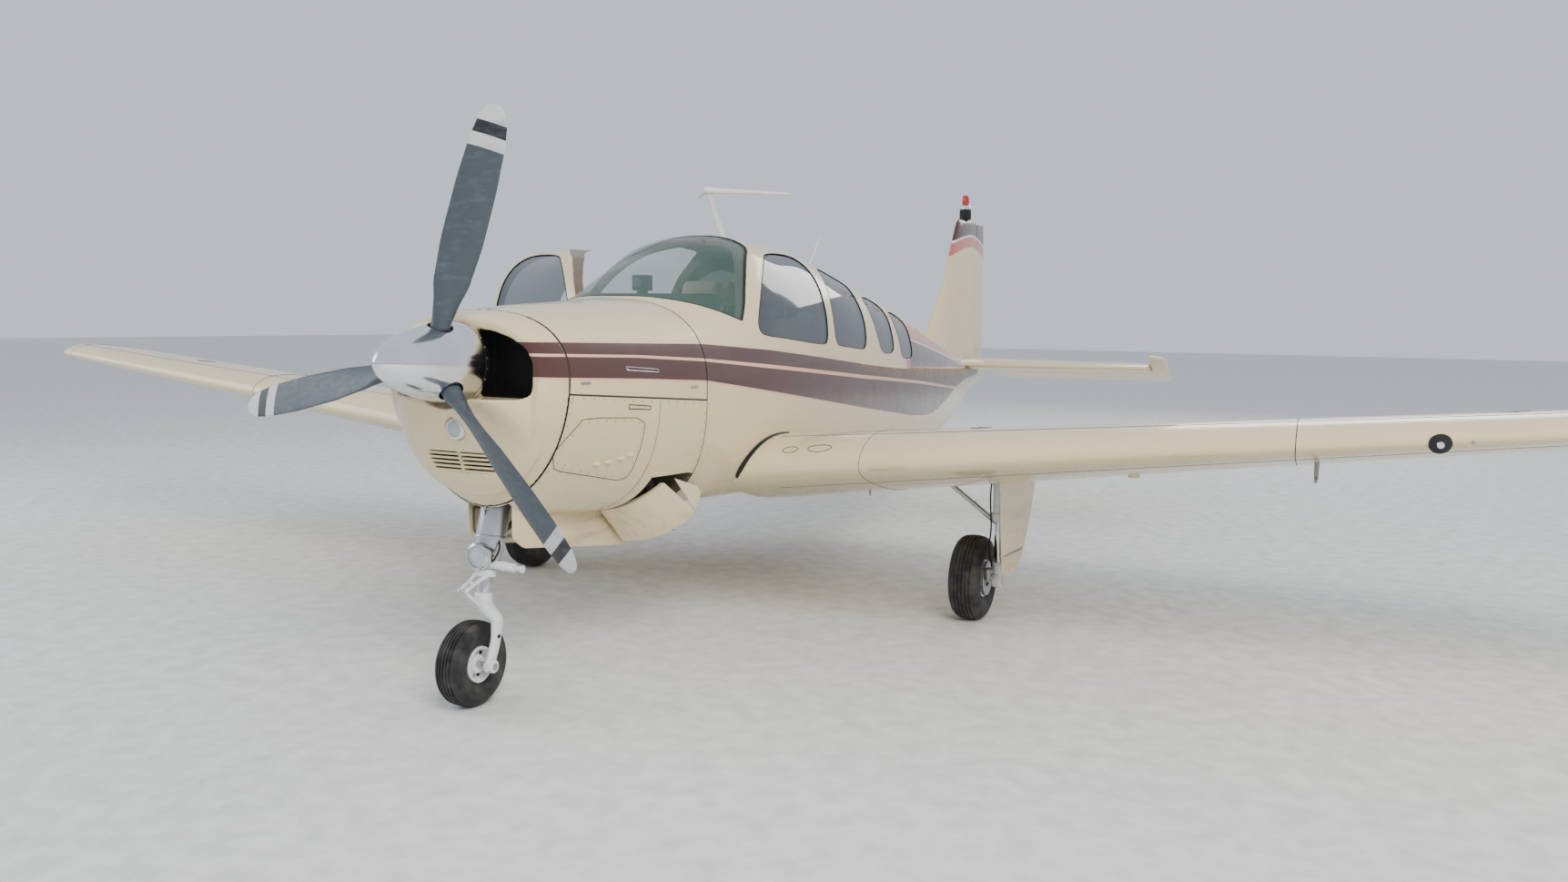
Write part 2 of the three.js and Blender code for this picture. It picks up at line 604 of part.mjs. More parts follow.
/** A point of a section: along its chord, and above it by the camber and some half thicknesses. */
function foilPoint({ lead, trail, up, thick, bent }, along, sideOf) {
  const chord = Math.hypot(...trail.map((value, axis) => value - lead[axis]));
  const rise = chord * ((bent ? camber(along) : 0) + sideOf * thick * halfThickness(along));
  return lead.map((value, axis) => value + along * (trail[axis] - value) + rise * up[axis]);
}

function foilRing(section) {
  const upper = FOIL_PLACES.slice(1).reverse().map((a) => foilPoint(section, a, 1));
  const lower = FOIL_PLACES.slice(1).map((a) => foilPoint(section, a, -1));
  return [...upper, foilPoint(section, 0, 0), ...lower];
}

/** The section of a control surface: a pointed nose, then the foil to its trailing edge. */
function controlRing(section, from) {
  const places = [from + 0.028, from + (1 - from) * 0.4, from + (1 - from) * 0.72, 1];
  const upper = places.map((a) => foilPoint(section, a, 1)).reverse();
  const lower = places.map((a) => foilPoint(section, a, -1));
  return [...upper, foilPoint(section, from, 0), ...lower];
}

function wingSection(x, chordScale = 1, thickScale = 1) {
  const t = (x - WING.rootX) / (WING.tipX - WING.rootX);
  const chord = THREE.MathUtils.lerp(WING.rootChord, WING.tipChord, t) * chordScale;
  const pitch = radians(THREE.MathUtils.lerp(WING.rootPitch, WING.tipPitch, t));
  const z = WING.quarterZ + (x - WING.quarterX) * Math.tan(radians(WING.dihedral));
  const [ahead, behind] = [0.25 * chord, 0.75 * chord];
  return {
    lead: [x, WING.quarterY - ahead * Math.cos(pitch), z + ahead * Math.sin(pitch)],
    trail: [x, WING.quarterY + behind * Math.cos(pitch), z - behind * Math.sin(pitch)],
    up: [0, Math.sin(pitch), Math.cos(pitch)],
    thick: THREE.MathUtils.lerp(WING.rootThick, WING.tipThick, t) * thickScale,
    bent: true,
  };
}

function bay({ inner, outer, from }) {
  const [start, end] = [inner - CONTROL_END_GAP, outer + CONTROL_END_GAP];
  const [near, far] = [start, end].map((x) => foilPoint(wingSection(x), from, 0)[1] - CLEAR);
  return prismZ([[start, near], [end, far], [end, 4200], [start, 4200]], 300, 2000);
}

/** A small hinge bracket that reaches from a fixed surface to the nose of a moving one. */
function bracket([x, y, z], [dx, dz]) {
  return box(x - dx, x + dx, y - CLEAR - 12, y - BRACKET_GAP, z - dz, z + dz);
}

function control({ inner, outer, from }) {
  return loft([inner, outer].map((x) => controlRing(wingSection(x), from)));
}

const LEG_POCKET = { x0: 1535, x1: 1685, y0: 2470, y1: 2690, roof: 905 };

function addWings() {
  const rings = [wingSection(WING.rootX), wingSection(WING.tipX),
    ...TIP_RINGS.map(([x, chord, thick]) => wingSection(x, chord, thick))];
  const { x0, x1, y0, y1, roof } = LEG_POCKET;
  const pocket = box(x0, x1, y0, y1, 500, roof);
  const pad = [bar([2350, 2260, 880], [2350, 2260, 1000], 28, 28, 16)];
  const pitot = [bar([3155, 2100, 945], [3155, 2150, 1080], 9, 12, 8),
    bar([3155, 1990, 948], [3155, 2105, 948], 8, 8, 8)];
  const brackets = [FLAP, AILERON].flatMap(({ inner, outer, from }) => [0.12, 0.5, 0.88].map((t) => (
    bracket(foilPoint(wingSection(THREE.MathUtils.lerp(inner, outer, t)), from, 0), [5, 5]))));
  const trimmed = cut(join(loft(rings.map(foilRing)), ...pad, ...pitot),
    ...withTwin(body(FIREWALL, CABIN_REAR, -SEAT)), bay(FLAP), bay(AILERON), pocket);
  const wing = join(trimmed, ...brackets);
  const pieces = [['wing', wing], ['flap', control(FLAP)], ['aileron', control(AILERON)]];
  pieces.forEach(([name, shape]) => {
    add(`left_${name}`, shape, 'paint');
    add(`right_${name}`, mirrored(shape), 'paint');
  });
  return wing;
}

function addTail() {
  const hollow = body(CABIN_REAR - 20, CONE_REAR - 60, CONE_WALL, INNER_POINTS);
  add('tail_cone', cut(body(CABIN_REAR + SEAT, CONE_REAR), hollow), 'paint');
  const outside = withTwin(body(CABIN_REAR + SEAT, CONE_REAR, -SEAT));

  const { rootX, tipX, z, rootLead, tipLead, rootTrail, tipTrail, hinge, hornX } = TAILPLANE;
  const section = (x, inward = 0, thick = 1) => {
    const t = (x - rootX) / (tipX - rootX);
    return {
      lead: [x, THREE.MathUtils.lerp(rootLead, tipLead, t) + inward, z],
      trail: [x, THREE.MathUtils.lerp(rootTrail, tipTrail, t) - inward / 2, z],
      up: [0, 0, 1],
      thick: TAILPLANE.thick * thick,
    };
  };
  const fixed = join(cut(loft([section(rootX), section(hornX - CLEAR)].map(foilRing)),
    box(0, 2000, hinge - CLEAR, 8200, 900, 1500), box(0, 62, 7480, 8200, 900, 1500), ...outside),
  ...[260, 900, 1540].map((x) => bracket([x, hinge, z], [12, 8])));
  const from = (x) => {
    const { lead, trail } = section(x);
    return (hinge - lead[1]) / (trail[1] - lead[1]);
  };
  const horn = loft([section(hornX), section(tipX - 25, 12, 0.9), section(tipX, 45, 0.4)].map(foilRing));
  const panel = loft([100, hornX + 20].map((x) => controlRing(section(x), from(x))));
  const rudderSwing = prismZ([[0, 7400], [100, 7400], [100, hinge], [390, 8100], [0, 8100]], 900, 1500);
  const elevator = cut(join(panel, horn), rudderSwing);
  const droop = turned([0, hinge, z], [1, 0, 0], -TAILPLANE.droop);
  [['left', (g) => g], ['right', mirrored]].forEach(([name, place]) => {
    add(`${name}_stabilizer`, place(fixed), 'paint');
    add(`${name}_elevator`, place(elevator), 'paint', droop);
  });

  const finSection = (height, lead, thick = 1) => {
    const t = (height - FIN.baseZ) / (FIN.topZ - FIN.baseZ);
    return {
      lead: [0, lead, height],
      trail: [0, THREE.MathUtils.lerp(FIN.trailBase, FIN.trailTop, t), height],
      up: [1, 0, 0],
      thick: FIN.thick * thick,
    };
  };
  const hingeAt = (height) => THREE.MathUtils.lerp(
    FIN.hingeBase, FIN.hingeTop, (height - FIN.baseZ) / (FIN.topZ - FIN.baseZ));
  const tailRoots = withTwin(loft([0, 200].map((x) => foilRing(section(x, -2, 1.04)))));
  const whole = loft([...FIN_LEADS.map(([height, lead]) => finSection(height, lead)),
    finSection(2535, 7050, 0.85), finSection(FIN.topZ, 7150, 0.45)].map(foilRing));
  const behind = prismX([[hingeAt(1000) - CLEAR, 1000], [hingeAt(2700) - CLEAR, 2700], [8300, 2700],
    [8300, 1000]], -300, 300);
  add('fin', join(cut(whole, behind, ...outside, ...tailRoots),
    ...[1480, 1950, 2420].map((height) => bracket([0, hingeAt(height), height], [7, 10]))), 'paint');
  const rudderRing = (height, scale) => {
    const base = finSection(Math.max(height, FIN.baseZ), 6900, scale);
    base.lead[2] = height;
    base.trail[2] = height;
    return controlRing(base, (hingeAt(height) - 6900) / (base.trail[1] - 6900));
  };
  const rudder = loft([[1040, 0.6], [1100, 1], [2500, 0.85], [2545, 0.45]].map(([height, scale]) => (
    rudderRing(height, scale))));
  add('rudder', rudder, 'paint');

  const beaconProfile = [[0, 0], [54, 0], [54, 95], [46, 126], [34, 132], [31, 214], [20, 222], [0, 222]];
  const beacon = new THREE.LatheGeometry(beaconProfile.map(([r, h]) => new THREE.Vector2(r, h)), 14);
  beacon.rotateX(Math.PI / 2).translate(0, 7290, FIN.topZ + SEAT);
  add('tail_beacon', beacon, 'lamp');
}

// Propeller

function addPropeller() {
  const disc = new THREE.Group();
  disc.position.set(0, 0, PROP_HUB_Z);
  disc.rotation.x = -radians(PROP_TILT);
  const turn = new THREE.Group();
  turn.rotation.y = radians(PROP_TURN);
  disc.add(turn);
  aircraft.add(disc);

  const sides = 14;
  const bladeRing = ([radius, chord, thick, angle]) => Array.from({ length: sides }, (_, k) => {
    const t = (2 * Math.PI * k) / sides;
    const [u, v] = [(chord / 2) * Math.cos(t), (thick / 2) * Math.sin(t)];
    const [c, s] = [Math.cos(radians(angle)), Math.sin(radians(angle))];
    return [u * c - v * s, u * s + v * c, radius];
  });
  const blade = loft(BLADE.map(bladeRing));
  const cone = new THREE.LatheGeometry(SPINNER.map(([r, y]) => new THREE.Vector2(r, y)), 26);
  const turns = [0, 120, 240].map(radians);
  const holes = turns.map((angle) => bar([0, 0, 72 - SEAT], [0, 0, 400], 50, 50, 16).rotateY(angle));
  add('spinner', cut(cone, ...holes), 'metal', turn);
  turns.forEach((angle, i) => add(`blade_${i + 1}`, blade.clone().rotateY(angle), 'blade', turn));
}

// Landing gear

function tyre({ radius, width, rim }) {
  const half = width / 2;
  const crown = radius - rim;
  const profile = [[rim + SEAT, -half * 0.62], [rim + crown * 0.25, -half * 0.86], [rim + crown * 0.5, -half],
    [rim + crown * 0.78, -half * 0.88], [radius - crown * 0.06, -half * 0.52], [radius, -half * 0.12],
    [radius, half * 0.12], [radius - crown * 0.06, half * 0.52], [rim + crown * 0.78, half * 0.88],
    [rim + crown * 0.5, half], [rim + crown * 0.25, half * 0.86], [rim + SEAT, half * 0.62]];
  const points = [...profile, profile[0]].map(([r, h]) => new THREE.Vector2(r, h));
  return new THREE.LatheGeometry(points, WHEEL_SIDES).rotateZ(-Math.PI / 2);
}

function hub({ width, rim }, bore) {
  const half = width / 2;
  const profile = [[bore, -half * 0.6], [bore + 22, -half * 0.6], [bore + 26, -half * 0.3], [rim - 16, -half * 0.3],
    [rim - 12, -half * 0.74], [rim, -half * 0.74], [rim, half * 0.74], [rim - 12, half * 0.74],
    [rim - 16, half * 0.3], [bore + 26, half * 0.3], [bore + 22, half * 0.6], [bore, half * 0.6]];
  const points = [...profile, profile[0]].map(([r, h]) => new THREE.Vector2(r, h));
  return new THREE.LatheGeometry(points, WHEEL_SIDES).rotateZ(-Math.PI / 2);
}

/** A point on the nose leg's axis at a given height. */
function legAt(z) {
  const t = (z - LEG_FOOT[2]) / (LEG_TOP[2] - LEG_FOOT[2]);
  return LEG_FOOT.map((value, axis) => value + t * (LEG_TOP[axis] - value));
}

function addNoseGear() {
  const bore = 16;
  const collar = 560;
  const top = [0, LEG_TOP[1] + 32, LEG_TOP[2]];
  const housing = [
    bar(top, legAt(640), 66, 62, 16), bar(legAt(640), legAt(collar), 62, 44, 16),
    bar([-118 + SEAT, legAt(885)[1], 885], [118 - SEAT, legAt(885)[1], 885], 24, 24),
    bar([0, 380, 660], [0, 760, 880], 14, 14), bar([-118 + SEAT, 760, 880], [118 - SEAT, 760, 880], 14, 14),
    bar([0, 318, 632], [0, 252, 622], 56, 56, 16), bar([20, 300, 588], [190, 320, 574], 19, 19),
  ];
  add('nose_leg', join(...housing), 'metal');

  const knee = [0, 165, 495];
  const arm = 96;
  const fork = [
    bar(legAt(collar - SEAT), legAt(430), 27, 27, 12),
    bar(legAt(collar - SEAT), legAt(528), 44, 44, 16),
    bar([0, legAt(540)[1] - 20, 540], knee, 13, 10, 8), bar(knee, [0, 236, 425], 10, 13, 8),
    bar(legAt(455), legAt(398), 38, 38, 12),
    bar([0, legAt(415)[1], 418], [arm, 262, 372], 30, 26), bar([arm, 262, 376], [arm + 4, 246, 280], 26, 24),
    bar([arm + 4, 248, 284], [arm, NOSE_WHEEL.y, NOSE_WHEEL.z], 24, 22),
    bar([arm + 20, NOSE_WHEEL.y, NOSE_WHEEL.z], [-46, NOSE_WHEEL.y, NOSE_WHEEL.z], bore - BARREL_GAP),
  ];
  add('nose_fork', join(...fork), 'white');
  add('nose_wheel', hub(NOSE_WHEEL, bore).translate(0, NOSE_WHEEL.y, NOSE_WHEEL.z), 'white');
  add('nose_tyre', tyre(NOSE_WHEEL).translate(0, NOSE_WHEEL.y, NOSE_WHEEL.z), 'tyre');

  const door = prismX(NOSE_DOOR, 112, 118 - SEAT);
  add('left_nose_door', door, 'paint');
  add('right_nose_door', mirrored(toGeometry(toSolid(door))), 'paint');
}

function addMainGear(wing) {
  const { x, y, z } = MAIN_WHEEL;
  const bore = 22;
  const legX = 1612;
  const top = LEG_POCKET.roof - SEAT;
  const leg = join(
    bar([legX, 2575, top], [legX, 2590, 560], 36, 36, 14), bar([legX, 2590, 575], [legX, y, z - 26], 26, 26, 12),
    bar([LEG_POCKET.x0 + SEAT, 2575, 868], [LEG_POCKET.x1 - SEAT, 2575, 868], 26, 26),
    bar([legX + 14, y, z], [x - 60, y, z], bore - BARREL_GAP),
    bar([legX + 18, y, z], [legX - 28, y, z], 44, 44, 14),
    bar([legX, 2590, 560], [legX, 2700, 430], 12, 10, 8), bar([legX, 2700, 430], [legX, y, 300], 10, 12, 8),
    bar([legX - 10, 2585, 540], [1330, 2575, 745], 13, 13, 10));
  const door = (inward) => loft(GEAR_DOOR.map(([height, x0, y0, x1, y1]) => [[x0 - inward, y0, height],
    [x1 - inward, y1, height], [x1 + 5, y1, height], [x0 + 5, y0, height]]));
  const stays = [bar([legX, 2585, 470], [1710.5, 2572, 490], 9, 9, 8),
    bar([legX, 2580, 700], [1709, 2560, 700], 9, 9, 8)];
  const above = wing.clone().translate(0, 0, -SEAT);
  const pieces = [['main_leg', cut(join(leg, ...stays), door(SEAT), wing, above), 'metal'],
    ['main_wheel', hub(MAIN_WHEEL, bore).translate(x, y, z), 'white'],
    ['main_tyre', tyre(MAIN_WHEEL).translate(x, y, z), 'tyre'],
    ['gear_door', cut(door(0), wing, above), 'paint']];
  pieces.forEach(([name, shape, finish]) => {
    add(`left_${name}`, shape, finish);
    add(`right_${name}`, mirrored(toGeometry(toSolid(shape))), finish);
  });
}

// Antennas

function addAntennas() {
  const roof = (y) => rowAt(SECTIONS, y)[4];
  const top = [0, 2245, 2323];
  const mast = bar([0, 2452, roof(2452) - 10], top, 30, 17, 10);
  const arms = [1, -1].map((sign) => bar(top, [sign * 308, 2700, 2338], 15, 7, 8));
  const outside = body(FIREWALL, CABIN_REAR, -SEAT);
  add('nav_antenna', cut(join(mast, ...arms), outside), 'white');
  add('whip_antenna', cut(bar([0, 3610, roof(3610) - 10], [0, 3836, 2176], 18, 4, 10), outside), 'white');
}

addCowl();
addNose();
addEngine();
addCabin();
addSeats();
const wingShape = addWings();
addTail();
addPropeller();
addNoseGear();
addMainGear(wingShape);
addAntennas();

export default aircraft;
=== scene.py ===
# %% [markdown]
# # Dressing a light aircraft
# The CAD frame gives every place and every moving body. This lesson puts the finished surfaces over
# it: a smooth painted hull, polished and rubber parts, glass, stitched seats and the small hardware
# that makes an aircraft look real. Everything stays in the frame's own place, so no fitting is needed.

# %% Load the frame and keep its box
import math

import bmesh
import bpy
import numpy as np
from mathutils import Matrix, Vector


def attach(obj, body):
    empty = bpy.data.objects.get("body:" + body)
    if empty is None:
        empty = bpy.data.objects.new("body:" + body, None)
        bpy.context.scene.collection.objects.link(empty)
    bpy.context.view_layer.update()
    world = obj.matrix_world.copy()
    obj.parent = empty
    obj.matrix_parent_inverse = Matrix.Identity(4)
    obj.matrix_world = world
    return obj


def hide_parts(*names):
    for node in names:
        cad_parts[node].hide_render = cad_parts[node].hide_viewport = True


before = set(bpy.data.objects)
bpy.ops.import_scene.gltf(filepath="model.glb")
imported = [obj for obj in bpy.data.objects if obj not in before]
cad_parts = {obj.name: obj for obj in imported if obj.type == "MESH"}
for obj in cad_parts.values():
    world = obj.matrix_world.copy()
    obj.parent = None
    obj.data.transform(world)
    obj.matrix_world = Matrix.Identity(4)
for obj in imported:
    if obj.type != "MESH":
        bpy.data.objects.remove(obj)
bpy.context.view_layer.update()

# %% [markdown]
# ## The camera
# The camera comes first, because it tells how fine each piece has to be. It was fitted to known
# places of the aircraft, so it stands where the photographer stood.

# %% Camera
CAMERA_PLACE = Vector((3.1902, -7.4791, 1.6313))
CAMERA_YAW = math.radians(-24.741)
CAMERA_PITCH = math.radians(-5.967)
CAMERA_ROLL = math.radians(0.745)


def add_camera():
    flat = math.cos(CAMERA_PITCH)
    forward = Vector((math.sin(CAMERA_YAW) * flat, math.cos(CAMERA_YAW) * flat, math.sin(CAMERA_PITCH)))
    right = forward.cross(Vector((0, 0, 1))).normalized()
    up = right.cross(forward)
    level = math.cos(CAMERA_ROLL)
    lean = math.sin(CAMERA_ROLL)
    axes = Matrix((right * level + up * lean, up * level - right * lean, -forward)).transposed()
    data = bpy.data.cameras.new("camera")
    data.lens = 27.185
    data.sensor_width = 36
    data.sensor_fit = "HORIZONTAL"
    data.clip_end = 200
    camera = bpy.data.objects.new("camera", data)
    camera.matrix_world = Matrix.Translation(CAMERA_PLACE) @ axes.to_4x4()
    bpy.context.scene.collection.objects.link(camera)
    bpy.context.scene.camera = camera
    print("camera at", tuple(round(v, 2) for v in CAMERA_PLACE))


add_camera()

# %% [markdown]
# ## Helpers for hand work
# Operators act on whatever is selected, and the loader leaves the CAD nodes selected, so every step
# starts by letting go of everything. Places are given in millimetres from the propeller's plane, as
# an aircraft's stations are, and `place` turns them into the frame's metres.

# %% Selecting, placing and finishing a piece
MIDDLE = 3856


def place(x, y, z):
    return Vector((x, y - MIDDLE, z)) / 1000


def let_go():
    if bpy.context.mode != "OBJECT":
        bpy.ops.object.mode_set(mode="OBJECT")
    bpy.ops.object.select_all(action="DESELECT")


def pick(*pieces):
    let_go()
    for piece in pieces:
        piece.select_set(True)
    bpy.context.view_layer.objects.active = pieces[0]
    return pieces[0]


def settle(piece):
    """The piece's turn, place and scale go into its mesh."""
    pick(piece)
    bpy.ops.object.transform_apply(location=True, rotation=True, scale=True)
    return piece


def apply(piece, kind, **settings):
    """One modifier, added and applied."""
    pick(piece)
    step = piece.modifiers.new("step", kind)
    for key, value in settings.items():
        setattr(step, key, value)
    bpy.ops.object.modifier_apply(modifier="step")
    return piece


def weld(*pieces):
    """Several pieces become the first one."""
    pick(*pieces)
    if len(pieces) > 1:
        bpy.ops.object.join()
    return pieces[0]


def carve(piece, *tools, operation="DIFFERENCE"):
    """Cuts, joins or intersects with each tool, which is used up."""
    for tool in tools:
        apply(piece, "BOOLEAN", object=tool, operation=operation, solver="MANIFOLD")
        bpy.data.objects.remove(tool)
    return piece


def twin(piece, turn=None):
    """A copy with its own mesh, turned by a matrix, or mirrored across the middle plane."""
    other = piece.copy()
    other.data = piece.data.copy()
    bpy.context.scene.collection.objects.link(other)
    if turn is None:
        other.data.transform(Matrix.Diagonal((-1, 1, 1, 1)))
        other.data.flip_normals()
    else:
        other.data.transform(turn)
    return other


def dress(piece, name, body, slot, *finishes, smooth=35, stands_for=()):
    """Names a finished piece, gives it its finishes and puts it on its body."""
    piece.name = name
    piece.data.name = name
    if finishes:
        parts = [face.material_index for face in piece.data.polygons]
        piece.data.materials.clear()
        for finish in finishes:
            piece.data.materials.append(finish)
        if len(finishes) > 1:
            piece.data.polygons.foreach_set("material_index", parts)
    if smooth:
        pick(piece)
        bpy.ops.object.shade_smooth_by_angle(angle=math.radians(smooth))
    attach(piece, body)
    if stands_for:
        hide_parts(*stands_for)
    print(name, len(piece.data.polygons), "faces")
    return piece


def dress_pair(piece, name, body, slot, *finishes, smooth=35, stands_for=None):
    """A port piece and its mirror image. {side} in a name stands for left and right."""
    for side, shape in zip(("left", "right"), (piece, twin(piece))):
        nodes = (stands_for.format(side=side),) if stands_for else ()
        dress(shape, name.format(side=side), body.format(side=side), slot, *finishes, smooth=smooth,
              stands_for=nodes)


# %% [markdown]
# ## Surfaces that no primitive gives
# A fuselage, a wing and a blade are lofts: rings that change along their length. Operators can't
# draw such a surface closely enough, so these few helpers write the mesh in code, and the operators
# and modifiers go on from there.

# %% Lofts, prisms and tubes
def circle(steps):
    """The angles of points spaced evenly round a circle."""
    return np.linspace(0, 2 * math.pi, steps + 1)[:-1]


def solid(points, faces):
    """A mesh object from places in millimetres, its faces turned outwards."""
    mesh = bpy.data.meshes.new("draft")
    metres = (np.asarray(points, dtype=float) - (0, MIDDLE, 0)) / 1000
    mesh.from_pydata([tuple(p) for p in metres], [], faces)
    shape = bmesh.new()
    shape.from_mesh(mesh)
    bmesh.ops.recalc_face_normals(shape, faces=shape.faces)
    shape.to_mesh(mesh)
    shape.free()
    piece = bpy.data.objects.new("draft", mesh)
    bpy.context.scene.collection.objects.link(piece)
    return piece


def loft(rings):
    """A closed skin over rings of equal length."""
    rings = np.asarray(rings, dtype=float)
    count, around = rings.shape[:2]
    points = np.vstack([rings.reshape(-1, 3), rings[0].mean(axis=0), rings[-1].mean(axis=0)])
    faces = []
    for i in range(count - 1):
        for k in range(around):
            a = i * around + k
            b = i * around + (k + 1) % around
            faces.append((a, b, b + around, a + around))
    for start, middle in ((0, count * around), ((count - 1) * around, count * around + 1)):
        faces += [(start + k, start + (k + 1) % around, middle) for k in range(around)]
    return solid(points, faces)


def prism(outline, axis, start, end):
    """An outline carried along x from y, z points, along y from x, z, or along z from x, y."""
    ends = [np.insert(np.asarray(outline, dtype=float), axis, value, axis=1) for value in (start, end)]
    count = len(outline)
    faces = [(k, (k + 1) % count, count + (k + 1) % count, count + k) for k in range(count)]
    faces += [tuple(range(count)), tuple(range(count, 2 * count))]
    return solid(np.vstack(ends), faces)


def rounded(outline, reach, steps=4):
    """The outline with each corner drawn as a curve that starts at a distance from it."""
    points = np.asarray(outline, dtype=float)
    result = []
    for i, corner in enumerate(points):
        ends = []
        for other in (points[i - 1], points[(i + 1) % len(points)]):
            length = np.linalg.norm(other - corner)
            ends.append(corner + (other - corner) * min(reach, 0.49 * length) / length)
        for t in np.linspace(0, 1, steps + 1):
            result.append(ends[0] * (1 - t) ** 2 + corner * 2 * t * (1 - t) + ends[1] * t * t)
    return np.array(result)


def inset(outline, distance):
    """The outline drawn in, or out if the distance is negative."""
    points = np.asarray(outline, dtype=float)
    after = np.roll(points, -1, axis=0)
    area = np.sum(points[:, 0] * after[:, 1] - after[:, 0] * points[:, 1])
    edges = after - points
    edges /= np.maximum(np.linalg.norm(edges, axis=1, keepdims=True), 1e-6)
    along = edges + np.roll(edges, 1, axis=0)
    along /= np.linalg.norm(along, axis=1, keepdims=True)
    spread = np.maximum(0.5, np.sum(along * edges, axis=1, keepdims=True))
    inward = np.stack([-along[:, 1], along[:, 0]], axis=1) * math.copysign(1, area)
    return points + inward * distance / spread


def tube(path, radius, sides=8, closed=False):
    """A round tube along a path; the radius is one number or one for each point."""
    path = np.asarray(path, dtype=float)
    count = len(path)
    radii = np.broadcast_to(np.asarray(radius, dtype=float), (count,))
    if closed:
        along = np.roll(path, -1, axis=0) - np.roll(path, 1, axis=0)
    else:
        along = np.gradient(path, axis=0)
    side = Vector(along[0]).orthogonal().normalized()
    rings = []
    for spot, way, size in zip(path, along, radii):
        way = Vector(way).normalized()
        side = (side - way * side.dot(way)).normalized()
        other = way.cross(side)
        rings.append([Vector(spot) + (side * math.cos(t) + other * math.sin(t)) * size
                      for t in circle(sides)])
    if not closed:
        return loft(rings)
    faces = []
    for i in range(count):
        for k in range(sides):
            a = i * sides + k
            b = i * sides + (k + 1) % sides
            ahead = ((i + 1) % count) * sides
            faces.append((a, b, ahead + (k + 1) % sides, ahead + k))
    return solid(np.asarray(rings).reshape(-1, 3), faces)


def domes(spots, radius, height, sides=6):
    """Small rivet or screw heads: each spot is a place and the way that its head points."""
    points = []
    faces = []
    for spot, way in spots:
        way = Vector(way).normalized()
        side = way.orthogonal().normalized()
        other = way.cross(side)
        base = len(points)
        for size, rise in ((1, -0.6), (1, 0.25), (0.62, 0.85)):
            for k in range(sides):
                t = 2 * math.pi * k / sides
                reach = (side * math.cos(t) + other * math.sin(t)) * radius * size
                points.append(Vector(spot) + reach + way * height * rise)
        for level in (0, 1):
            for k in range(sides):
                a = base + level * sides + k
                b = base + level * sides + (k + 1) % sides
                faces.append((a, b, b + sides, a + sides))
        faces.append(tuple(base + k for k in range(sides)))
        faces.append(tuple(base + 2 * sides + k for k in range(sides)))
    return solid(points, faces)


# %% [markdown]
# ## Primitives shaped in edit mode
# Most hardware starts as a cylinder or a block whose rims are bevelled, because real edges are never
# sharp and only a bevel catches the light. What is turned on a lathe is a profile spun about an axis.

# %% Rods, blocks and turned pieces
SHARP = 40
SAME_PLACE = 0.00002


def rod(start, end, radius, end_radius=None, sides=24, edge=2.0):
    """A round bar between two places, its rims bevelled."""
    start = place(*start)
    end = place(*end)
    along = end - start
    end_radius = radius if end_radius is None else end_radius
    let_go()
    bpy.ops.mesh.primitive_cone_add(vertices=sides, radius1=radius / 1000, radius2=end_radius / 1000,
                                    depth=along.length)
    piece = bpy.context.object
    if edge:
        bevel_rims(piece, edge)
    turn = Vector((0, 0, 1)).rotation_difference(along).to_matrix().to_4x4()
    piece.data.transform(Matrix.Translation((start + end) / 2) @ turn)
    return piece


def bevel_rims(piece, width, segments=2):
    """Bevels the sharp edges."""
    pick(piece)
    bpy.ops.object.mode_set(mode="EDIT")
    bpy.ops.mesh.select_mode(type="EDGE")
    bpy.ops.mesh.select_all(action="DESELECT")
    bpy.ops.mesh.edges_select_sharp(sharpness=math.radians(SHARP))
    bpy.ops.mesh.bevel(offset=width / 1000, segments=segments, affect="EDGES", clamp_overlap=True)
    bpy.ops.object.mode_set(mode="OBJECT")
    return piece


def block(low, high, edge=4, segments=2):
    """A box between two corners, its edges bevelled."""
    low = place(*low)
    high = place(*high)
    let_go()
    bpy.ops.mesh.primitive_cube_add(size=1, location=(low + high) / 2)
    piece = bpy.context.object
    piece.scale = high - low
    settle(piece)
    return bevel_rims(piece, edge, segments) if edge else piece


def lathe(profile, steps=48, axis="X", centre=(0, 0, 0)):
    """A profile of radius and place along the axis, spun into a closed piece with bpy.ops."""
    mesh = bpy.data.meshes.new("profile")
    points = [(along / 1000, 0, radius / 1000) for radius, along in profile]
    count = len(points)
    closed = profile[0][0] > 0 and profile[-1][0] > 0
    edges = [(k, k + 1) for k in range(count - 1)] + ([(count - 1, 0)] if closed else [])
    mesh.from_pydata(points, edges, [])
    piece = bpy.data.objects.new("profile", mesh)
    bpy.context.scene.collection.objects.link(piece)
    pick(piece)
    bpy.ops.object.mode_set(mode="EDIT")
    bpy.ops.mesh.select_all(action="SELECT")
    bpy.ops.mesh.spin(steps=steps, angle=2 * math.pi, center=(0, 0, 0), axis=(1, 0, 0))
    bpy.ops.mesh.select_all(action="SELECT")
    bpy.ops.mesh.remove_doubles(threshold=SAME_PLACE)
    bpy.ops.mesh.normals_make_consistent(inside=False)
    bpy.ops.object.mode_set(mode="OBJECT")
    turn = {"X": Matrix.Identity(4), "Y": Matrix.Rotation(math.pi / 2, 4, "Z"),
            "Z": Matrix.Rotation(-math.pi / 2, 4, "Y")}[axis]
    piece.data.transform(Matrix.Translation(place(*centre)) @ turn)
    return piece


# %% [markdown]
# ## Finishes
# A `Finish` is a material under construction. Its methods add one node each and hand back the
# output, so that a recipe reads like a sentence. All patterns read Object coordinates: a piece's
# place is in its mesh, so a pattern keeps its scale and runs on from piece to piece.

